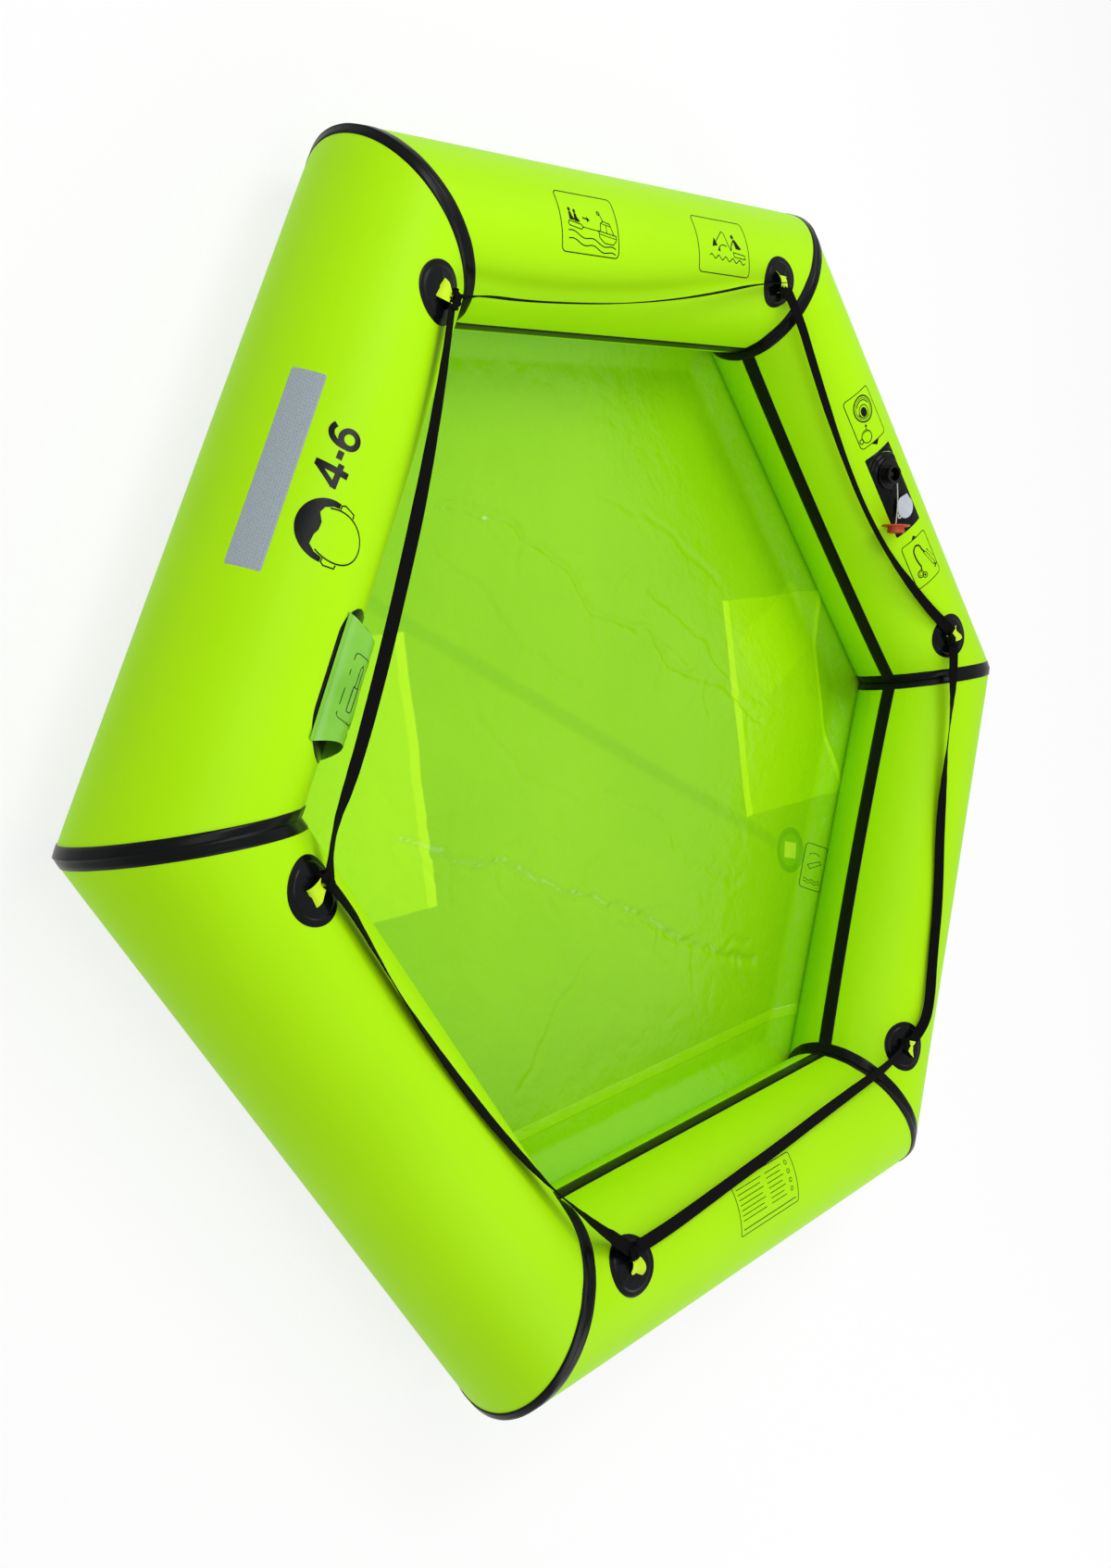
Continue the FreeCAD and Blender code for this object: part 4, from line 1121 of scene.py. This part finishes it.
# %% Cards on the third side
cap_card = card_outline(80, 109)
for radius, width in ((27.0, 3.0), (22.0, 1.4)):
    cap_card += ring(3.2, 19, radius, width)
cap_card += stroke(arc(3.2, 19, 18.0, 18.0, 15, 150, 16), 2.0)
cap_card += stroke(arc(3.2, 19, 18.5, 18.5, 195, 250, 10), 2.0)
cap_card += ring(1.8, 14, 13.5, 1.8)
cap_card.append(arc(1.2, 12.6, 9.0, 10.2)[:-1])
cap_card += stroke([(-11.2, -22.4), (-8.6, -15.9)], 1.8)
cap_card.append([(-12.0, -14.6), (-5.2, -17.2), (-6.9, -10.8)])
cap_card += ring(-15.7, -35.2, 13.2, 2.0)
cap_card += stroke(arc(-15.7, -35.2, 10.4, 10.4, 40, 130, 10), 1.2)
cap_card += ring(-32.2, -38.6, 4.6, 1.8)
cap_card.append([(-11, -55.5), (11, -55.5), (1.5, -64.5)])
add_print("card_cap", cap_card, tube_place(3, -0.1745, 76.0, 90.0), 90.0)

pump_card = card_outline(80, 105.5)
hose = arc(-3, 22, 12, 15, 0, 180, 20)
hose = [(14, 12)] + hose + [(-15, 12), (-13, 0), (-10, -10), (-13, -20)]
pump_card += stroke(hose, 3.6)
pump_card += stroke([(10, 13), (18, 10), (34, -26), (27, -29)], 1.4, closed=True)
pump_card += stroke([(30.5, -27.5), (33, -33)], 3.0)
pump_card += stroke([(27, -36), (38, -31)], 3.4)
pump_card += ring(-18, -25, 8.0, 2.2)
pump_card += ring(-18, -25, 4.4, 1.2)
pump_card += ring(-8, -33, 6.0, 1.8)
pump_card.append(arc(-8, -33, 2.6, 2.6, steps=12)[:-1])
pump_card += stroke([(24, 12), (36, -12)], 1.0)
pump_card.append([(23, 8), (27, 10), (23.5, 14)])
pump_card.append([(-8, 54), (0, 61), (8, 54)])
add_print("card_pump", pump_card, tube_place(3, 0.1722, 74.6, 90.0), 90.0)
print("cards by the valve made")

# %% [markdown]
# ## The drawings on the far side
# Two more cards show two people in a raft that a boat takes in tow, and a person who throws out a
# drag anchor. The people are plain shapes: a round head and a bent body.

# %% Cards on the second side


def sitting_person(x, y, size=1.0, lean=0.0):
    head = arc(x + lean, y + 15 * size, 3.0 * size, 3.4 * size, steps=14)[:-1]
    body = [(x - 2.6 * size + lean * 0.6, y + 11 * size), (x + 2.6 * size + lean * 0.6, y + 11 * size),
            (x + 4.0 * size, y + 5 * size), (x + 10 * size, y - 1 * size), (x + 7.5 * size, y - 3 * size),
            (x - 2.4 * size, y - 2 * size)]
    return [head, body]


tow_card = card_outline(140, 101.8, 9.0)
tow_card += sitting_person(-46, 4) + sitting_person(-34, 2)
tow_card += stroke([(-50, 0), (-22, -4), (-17, -8), (-22, -12), (-50, -8), (-53, -4)], 1.6, closed=True)
tow_card += stroke([(-16, 8), (-5, 6)], 2.4)
tow_card.append([(-6, 10.5), (-6, 1.5), (1, 5.2)])
tow_card += stroke([(-17, -8), (24, -11)], 1.4)
tow_card += stroke([(20, -10), (64, -15), (64, -22), (56, -30), (34, -29), (22, -21)], 1.6, closed=True)
tow_card += stroke([(21, -15), (64, -20)], 1.2)
tow_card += stroke([(25, -10), (27, 3), (34, 7), (50, 4), (58, -14)], 1.6)
tow_card += stroke([(27, 3), (51, 0)], 1.2)
tow_card += stroke([(40, 1), (41, -12)], 1.2)
tow_card += stroke([(34, 7), (30, 16), (24, 22)], 1.6)
tow_card += ring(26, 20, 3.4, 1.2)
tow_card += wave_line(-54, 62, -16, -38, 2.6, 2.4)
tow_card += wave_line(-54, 62, -29, -47, 2.6, 2.4)
add_print("card_tow", tow_card, tube_place(2, -0.178, 93.75), 0.0)

anchor_card = card_outline(152, 104.3, 9.0)
anchor_card += wave_line(-44, 62, -21, -27, 3.4, 5.0)
anchor_card.append([(-34, -4), (-18, -1), (-26, 13)])
anchor_card += stroke([(-22, 6), (-10, 16), (2, 27), (8, 24), (14, 4), (22, -8)], 1.6)
anchor_card += stroke(arc(0, -14, 18, 15, 150, 60, 14), 1.8)
anchor_card.append([(-19, -10), (-12, -3), (-11, -12)])
anchor_card += sitting_person(40, 0, 1.3, -8.0)
anchor_card += stroke([(34, 14), (24, 2), (22, -8)], 2.4)
anchor_card += stroke([(28, -10), (62, -13), (64, -20), (30, -18)], 1.6, closed=True)
add_print("card_anchor", anchor_card, tube_place(2, 0.190, 94.25), 0.0)
print("cards on the far side made")

# %% [markdown]
# ## How many people it holds
# A large 4-6 on the first side says how many people the raft holds, with a plain faceless person
# beside it. The figures are drawn with the same strokes and rings as the cards, only bolder.

# %% Figures
four = [[(21, 0), (31, 0), (31, 50), (21, 50)], [(0, 10), (38, 10), (38, 19), (0, 19)],
        [(0, 18), (10, 18), (31, 50), (22, 50)]]
dash = [[(43, 17), (56, 17), (56, 26), (43, 26)]]
six = ring(77, 17, 12.6, 8.8) + stroke(arc(80.5, 24, 16.5, 21.6, 55, 195, 20), 8.6)
sign_turn = -3.4
add_print("people_figures", four + dash + six, tube_place(1, -0.0075, 98.7, sign_turn), sign_turn)
print("figures drawn with", len(four + dash + six), "faces")

# %% Person beside the figures
person = stroke(arc(0, -12, 37, 45, 150, 390, 44), 2.2)
hair_outer = arc(0, 4, 46, 46, -8, 188, 36)
hair_inner = [(-38, -2), (-36, 10), (-28, 20), (-14, 19), (-4, 15), (8, 15), (20, 22), (30, 18),
              (37, 6), (38, -2)]
hair_steps = 36


def on_hairline(step):
    """A point on the inner edge of the hair."""
    place = step / hair_steps * (len(hair_inner) - 1)
    first = min(int(place), len(hair_inner) - 2)
    return Vector(hair_inner[first]).lerp(Vector(hair_inner[first + 1]), place - first)


for step in range(hair_steps):
    person.append([hair_outer[hair_steps - step], hair_outer[hair_steps - 1 - step],
                   on_hairline(step + 1), on_hairline(step)])
for end in (-1, 1):
    person += stroke([(end * 38, -4), (end * 44, -4), (end * 47, -9), (end * 43, -26), (end * 37, -27)], 2.0)
add_print("person_sign", person, tube_place(1, -0.0675, 98.5, sign_turn), sign_turn)
print("person drawn with", len(person), "faces")

# %% [markdown]
# ## Other drawings
# The sleeve carries a card with the outline of a rescue knife, the fifth side a plain form with
# ruled lines for inspection dates, and the film over the righting patch a small empty card.

# %% Sleeve card, form and floor card
knife_card = card_outline(96, 40, 6.0, 1.2)
knife_outline = [(-34, -3), (-34, 5), (2, 5), (4, 3), (30, 3),
                 (36, -1), (30, -4), (4, -4), (2, -6), (-30, -6)]
knife_card += stroke(knife_outline, 1.4, closed=True)
knife_card += stroke([(2, 5), (2, -6)], 1.2)


def sleeve_place(u, v, lift):
    return on_sleeve(-0.246 + u * millimetre, 52.0 + degrees_of(v * millimetre) * 0.80, lift)


add_print("card_knife", knife_card, sleeve_place, 0.0, step=3.0)

form = card_outline(176, 92, 4.0, 1.4)
for left, right in ((-80, -6), (6, 56)):
    for row in range(7):
        height = 34 - row * 9.0
        form += stroke([(left, height), (right - (row * 7) % 13, height)], 1.2)
for row in range(4):
    form += ring(70, 32 - row * 16, 3.6, 1.2)
form += stroke([(-80, -36), (80, -36)], 1.6)
add_print("inspection_form", form, tube_place(5, -0.003, 81.5, 180.0), 180.0)

# the small card lies on the slope of the film beside the far righting patch
floor_card = card_outline(50, 100, 8.0, 1.1)
floor_card += wave_line(-18, 18, -30, -30, 1.6, 2.5, 0.9)
floor_card += wave_line(-18, 18, -36, -36, 1.6, 2.5, 0.9)
floor_card += stroke([(-14, 2), (10, 16), (14, 10), (-8, -6)], 1.0, closed=True)
floor_card += stroke(arc(-2, 22, 12, 9, 160, 30, 12), 1.0)


def floor_place(u, v, lift):
    spot = righting_way * (0.7330 + u * millimetre) + righting_side * (-0.0145 + v * millimetre)
    point = floor_point(spot.x, spot.y)
    return point + Vector((0, 0, lift + 0.0003))


add_print("card_floor", floor_card, floor_place, 0.0)
print("other drawings made")

# %% [markdown]
# ## Finishes
# Each finish is a small node tree: a colour that varies a little, and a bump at the scale of the
# real surface. Numbers that are the same all over go straight on the shader.

# %% Finish helpers


class Finish:
    """A material whose node tree is built up step by step."""

    def __init__(self, name, roughness, **numbers):
        self.material = bpy.data.materials.new(name.replace("_", " "))
        self.material.use_nodes = True
        self.tree = self.material.node_tree
        self.shader = self.tree.nodes["Principled BSDF"]
        self.normal = None
        for socket, value in dict(Roughness=roughness, **numbers).items():
            self.put(self.shader.inputs[socket.replace("_", " ")], value)

    def put(self, socket, value):
        """Give a socket another node's output, or a number of its own."""
        if isinstance(value, bpy.types.NodeSocket):
            self.tree.links.new(value, socket)
        else:
            socket.default_value = value

    def add(self, kind, **inputs):
        node = self.tree.nodes.new("ShaderNode" + kind)
        for socket, value in inputs.items():
            self.put(node.inputs[socket.replace("_", " ")], value)
        return node

    def noise(self, scale, detail=3.0):
        place = self.add("TexCoord").outputs["Object"]
        return self.add("TexNoise", Vector=place, Scale=scale, Detail=detail).outputs["Fac"]

    def ramp(self, source, dark_at, dark, light_at, light):
        node = self.add("ValToRGB", Fac=source)
        for element, place, colour in zip(node.color_ramp.elements, (dark_at, light_at), (dark, light)):
            element.position = place
            element.color = (*colour, 1.0)
        return node.outputs["Color"]

    def colour(self, source):
        self.put(self.shader.inputs["Base Color"], source)

    def bump(self, source, distance, strength=1.0):
        """Each bump is laid over the one before."""
        node = self.add("Bump", Height=source, Distance=distance, Strength=strength)
        if self.normal is not None:
            self.put(node.inputs["Normal"], self.normal)
        self.normal = node.outputs["Normal"]
        self.put(self.shader.inputs["Normal"], self.normal)

    def work_out(self, operation, first, second=None):
        node = self.add("Math")
        node.operation = operation
        self.put(node.inputs[0], first)
        if second is not None:
            self.put(node.inputs[1], second)
        return node.outputs[0]


print("slots to fill", len({finish for piece, finish in made}))

# %% [markdown]
# ### Coated fabric
# The tube, pockets, loops and tapes are cloth with a smooth coat. Up close the coat shows a very
# fine grain, and over a metre its colour drifts a little.

# %% Coated fabric
grain_depth = 0.00005


def coated_fabric(name, dark, light, roughness, specular, cloud_scale):
    finish = Finish(name, roughness, Specular_IOR_Level=specular)
    finish.colour(finish.ramp(finish.noise(cloud_scale), 0.3, dark, 0.7, light))
    finish.bump(finish.noise(26.0), 6 * grain_depth)
    finish.bump(finish.noise(900.0, 2.0), grain_depth)
    return finish.material


# dark and light colour, roughness, specular level and size of the colour's drift
fabrics = {
    "tube_fabric": ((0.400, 0.81, 0.001), (0.425, 0.855, 0.002), 0.45, 0.10, 3.0),
    "pocket_fabric": ((0.40, 0.80, 0.004), (0.44, 0.85, 0.008), 0.40, 0.50, 3.0),
    "righting_fabric": ((0.26, 0.62, 0.01), (0.30, 0.68, 0.02), 0.40, 0.50, 3.0),
    "bright_loop": ((0.50, 0.80, 0.006), (0.62, 0.88, 0.012), 0.50, 0.20, 3.0),
    "sleeve_fabric": ((0.17, 0.50, 0.025), (0.23, 0.60, 0.045), 0.28, 0.50, 14.0),
    "seam_tape": ((0.0018, 0.0028, 0.0028), (0.0045, 0.0060, 0.0062), 0.30, 0.13, 3.0),
    "black_patch": ((0.0016, 0.0021, 0.0026), (0.0036, 0.0044, 0.0050), 0.24, 0.15, 3.0),
}
for name, numbers in fabrics.items():
    finishes[name] = coated_fabric(name, *numbers)
print("coated finishes", len(finishes))

# %% [markdown]
# ### Floor film
# The film is translucent. Where the pockets lie under it, it looks brighter and yellower, and the
# strap, the patches and the lap seam show as soft bands. To keep the film one clean surface, these
# are worked out in the material: a mask is a turned box or a ring in the object's coordinates,
# with soft edges, and each mask mixes one more colour in.

# %% Masks


class FilmFinish(Finish):
    """A finish that also has masks and mixes colours in by them."""

    def soft_edge(self, distance, limit, soft):
        """1 where the distance is under the limit, 0 beyond it."""
        node = self.add("MapRange", From_Min=limit + soft / 2, From_Max=limit - soft / 2, Value=distance)
        node.interpolation_type = "SMOOTHSTEP"
        return node.outputs["Result"]

    def turned_place(self, centre, azimuth, wobble=0.0):
        place = self.add("TexCoord").outputs["Object"]
        mapping = self.add("Mapping", Vector=place, Location=(*centre, 0.0),
                           Rotation=(0.0, 0.0, math.radians(azimuth)))
        mapping.vector_type = "TEXTURE"
        split = self.add("SeparateXYZ", Vector=mapping.outputs["Vector"])
        x, y = split.outputs["X"], split.outputs["Y"]
        if not wobble:
            return x, y
        waver = self.work_out("MULTIPLY", self.noise(9.0, 2.0), wobble)
        return self.work_out("ADD", x, waver), self.work_out("ADD", y, waver)

    def box(self, centre, azimuth, half_long, half_wide, soft, wobble=0.0):
        masks = [self.soft_edge(self.work_out("ABSOLUTE", value), half, soft)
                 for value, half in zip(self.turned_place(centre, azimuth, wobble), (half_long, half_wide))]
        return self.work_out("MULTIPLY", *masks)

    def disc(self, centre, radius, soft):
        squares = [self.work_out("MULTIPLY", value, value) for value in self.turned_place(centre, 0.0)]
        away = self.work_out("POWER", self.work_out("ADD", *squares), 0.5)
        return self.soft_edge(away, radius, soft)

    def mix_in(self, mask, amount, colour):
        node = self.add("Mix")
        node.data_type = "RGBA"
        self.put(node.inputs["Factor"], self.work_out("MULTIPLY", mask, amount))
        self.put(node.inputs["A"], self.mixed)
        self.put(node.inputs["B"], (*colour, 1.0))
        self.mixed = node.outputs["Result"]


def at_azimuth(azimuth, reach):
    return (reach * cos_of(azimuth), reach * sin_of(azimuth))


print("the first pocket lies towards", at_azimuth(60, 1.0))

# %% Floor film finish
film = FilmFinish("floor film", 0.20, Specular_IOR_Level=0.40)
film.mixed = film.ramp(film.noise(2.6, 4.0), 0.3, (0.265, 0.630, 0.002), 0.7, (0.300, 0.68, 0.004))
pocket_colour, hem_colour = (0.42, 0.86, 0.001), (0.50, 0.92, 0.004)
pocket_far_edge, rim_reach, hem_half = 0.763, 0.757, 0.010
pocket_masks = []
for azimuth, near_edge, strength in ((60, 0.436, 0.55), (240, 0.450, 0.85)):
    outer = film.box(at_azimuth(azimuth, (near_edge + pocket_far_edge) / 2), azimuth,
                     (pocket_far_edge - near_edge) / 2, pocket_half, 0.005, 0.012)
    hem = film.box(at_azimuth(azimuth, near_edge + hem_half), azimuth, hem_half, pocket_half, 0.004, 0.012)
    fold = film.box(at_azimuth(azimuth + 14, 0.640), azimuth + 26, 0.115, 0.075, 0.010, 0.05)
    rim = film.box(at_azimuth(azimuth, rim_reach), azimuth, 0.005, pocket_half, 0.004, 0.012)
    film.mix_in(outer, strength, pocket_colour)
    film.mix_in(fold, 0.45, pocket_colour)
    film.mix_in(hem, 0.80, hem_colour)
    film.mix_in(rim, 0.60, hem_colour)
    pocket_masks.append(outer)
for azimuth in (30, 210):
    middle = at_azimuth(azimuth, righting_reach + 0.005)
    film.mix_in(film.disc(middle, 0.049, 0.004), 0.55, (0.10, 0.40, 0.005))
    film.mix_in(film.disc(middle, 0.035, 0.006), 0.60, (0.24, 0.62, 0.004))
    film.mix_in(film.box(middle, azimuth + 14, 0.021, 0.017, 0.003), 0.9, (0.50, 0.86, 0.03))
strap = film.box((0.0, 0.0), 30.0, righting_reach - 0.046, 0.013, 0.016, 0.006)
film.mix_in(strap, 0.22, (0.12, 0.42, 0.005))
lap_reach = flat_distance - 0.044
lap = film.box(at_azimuth(-30, lap_reach), -30.0, 0.010, 0.75, 0.003)
film.mix_in(lap, 0.45, (0.44, 0.88, 0.004))
end_panel = film.box(at_azimuth(-30, lap_reach + 0.3), -30.0, 0.3, 0.9, 0.003)
film.mix_in(end_panel, 0.35, (0.32, 0.76, 0.002))
film.colour(film.mixed)
crackle = film.noise(15.0, 9.0)
film.bump(film.work_out("ABSOLUTE", film.work_out("SUBTRACT", crackle, 0.5)), 0.010, 0.60)
film.bump(film.work_out("ADD", *pocket_masks), 0.0008, 0.7)
film.bump(film.work_out("ADD", lap, strap), 0.0008, 0.7)
film.bump(film.noise(240.0), 0.00012)
finishes["floor_film"] = film.material
print("floor nodes", len(film.tree.nodes))

# %% [markdown]
# ### Webbing
# Webbing has fine slanted ribs across it. They are a wave texture in the band's own coordinates,
# which run along and across it in metres. Black nylon hardly shines.

# %% Webbing finish
webbing = Finish("webbing", 0.75, Specular_IOR_Level=0.04)
ribs = webbing.add("TexWave", Vector=webbing.add("TexCoord").outputs["UV"], Scale=260.0, Distortion=1.0)
ribs.wave_type = "BANDS"
ribs.bands_direction = "DIAGONAL"
webbing.colour(webbing.ramp(ribs.outputs["Fac"], 0.0, (0.0020, 0.0022, 0.0020), 1.0, (0.0050, 0.0053, 0.0050)))
webbing.bump(ribs.outputs["Fac"], 0.0002)
finishes["black_webbing"] = webbing.material
print("webbing finish made")

# %% [markdown]
# ### Moulded and metal finishes
# The valve, the cap and the stopper are moulded plastic with a hardly visible grain, and the
# bottle's fittings are metal. The reflective tape is grey film over rows of tiny cells, drawn by
# a cell texture in the object's coordinates.

# %% Moulded finishes


def moulded(name, dark, light, roughness, **numbers):
    finish = Finish(name, roughness, **numbers)
    finish.colour(finish.ramp(finish.noise(60.0), 0.3, dark, 0.7, light))
    finish.bump(finish.noise(1400.0, 2.0), 0.00003)
    return finish


metal = {"Metallic": 1.0}
castings = {
    "valve_plastic": ((0.002, 0.002, 0.0025), (0.0045, 0.0045, 0.005), 0.22, {"Specular_IOR_Level": 0.3}),
    "cap_plastic": ((0.44, 0.48, 0.54), (0.52, 0.56, 0.62), 0.35, {}),
    "plug_plastic": ((0.50, 0.055, 0.015), (0.60, 0.075, 0.022), 0.45, {}),
    "tether_plastic": ((0.44, 0.46, 0.38), (0.52, 0.54, 0.46), 0.40, {}),
    "spring_steel": ((0.5, 0.5, 0.52), (0.62, 0.62, 0.64), 0.30, metal),
    "bottle_shell": ((0.5, 0.52, 0.54), (0.6, 0.62, 0.64), 0.35, metal),
    "brass_head": ((0.55, 0.42, 0.18), (0.66, 0.52, 0.24), 0.30, metal),
    "inlet_metal": ((0.52, 0.40, 0.18), (0.62, 0.50, 0.24), 0.34, metal),
}
for name, (dark, light, roughness, numbers) in castings.items():
    finishes[name] = moulded(name, dark, light, roughness, **numbers).material
print("moulded finishes", len(castings))

# %% Reflective film
reflective = Finish("reflective film", 0.38, Specular_IOR_Level=0.4)
cells = reflective.add("TexVoronoi", Vector=reflective.add("TexCoord").outputs["Object"],
                       Scale=340.0, Randomness=0.25)
distance = cells.outputs["Distance"]
reflective.colour(reflective.ramp(distance, 0.15, (0.19, 0.235, 0.26), 0.45, (0.33, 0.385, 0.42)))
reflective.bump(distance, 0.0001)
finishes["reflective_film"] = reflective.material
print("finishes", len(finishes))

# %% Put the finishes on
for piece, finish in made:
    piece.data.materials.clear()
    piece.data.materials.append(finishes[finish])
slot_of = {entry["node"]: entry["material_slot"] for entry in frame["record"]["subparts"]}
for node, thing in frame["nodes"].items():
    for slot in thing.material_slots:
        slot.material = finishes[slot_of[node]]
print("pieces with a finish", len(made))

# %% [markdown]
# ## Light and ground
# The raft lies on a plain pale floor under an even sky, so the light is mostly the world's, with
# one large soft lamp high behind the second side, which leaves the floor near that side in a
# soft shade. A weaker lamp hangs over the near side, for the inner walls across the floor, and
# another stands low beyond the raft, for the outer sides there. The level is chosen so that a
# colour comes out about as it is written. The camera sees the ground nearly white: four fifths
# of what it sees there is plain white, and the rest is the lit ground with a soft shadow.

# %% Light and ground
world = bpy.data.worlds.new("sky")
bpy.context.scene.world = world
world.use_nodes = True
sky = world.node_tree.nodes["Background"]
sky.inputs["Color"].default_value = (1.0, 1.0, 1.0, 1.0)
sky.inputs["Strength"].default_value = 0.60
# place, the point it is turned to, size and power
lamps = {
    "soft": ((-1.76, 1.64, 3.44), (0.0, 0.0, 0.0), 1.8, 52.0),
    "near fill": ((-0.80, -0.58, 2.15), (0.3, 0.2, 0.1), 1.4, 9.5),
    "far fill": ((3.30, -0.85, 2.25), (0.3, 0.2, 0.1), 2.6, 34.0),
}
for name, (place, target, size, power) in lamps.items():
    light = bpy.data.lights.new(name, "AREA")
    light.shape = "DISK"
    light.size = size
    light.energy = power
    lamp = put_in_scene(name, light)
    lamp.location = place
    lamp.rotation_euler = (Vector(target) - lamp.location).to_track_quat("-Z", "Y").to_euler()
ground_mesh = bpy.data.meshes.new("ground")
ground_mesh.from_pydata([(-8, -8, 0), (8, -8, 0), (8, 8, 0), (-8, 8, 0)], [], [(0, 1, 2, 3)])
ground = put_in_scene("ground", ground_mesh)
ground_finish = moulded("ground", (0.93, 0.93, 0.93), (0.95, 0.95, 0.95), 0.9)
rays = ground_finish.add("LightPath").outputs
seen = ground_finish.work_out("MAXIMUM", rays["Is Camera Ray"], rays["Is Glossy Ray"])
seen = ground_finish.work_out("MAXIMUM", seen, rays["Is Transmission Ray"])
white = ground_finish.add("Emission", Strength=1.0)
blend = ground_finish.add("MixShader", Fac=ground_finish.work_out("MULTIPLY", seen, 0.8))
ground_finish.put(blend.inputs[1], ground_finish.shader.outputs["BSDF"])
ground_finish.put(blend.inputs[2], white.outputs["Emission"])
ground_finish.put(ground_finish.tree.nodes["Material Output"].inputs["Surface"], blend.outputs["Shader"])
ground_mesh.materials.append(ground_finish.material)
bpy.context.scene.view_settings.view_transform = "Standard"
print("lamps", len(lamps))

# %% Update the scene
bpy.context.view_layer.update()
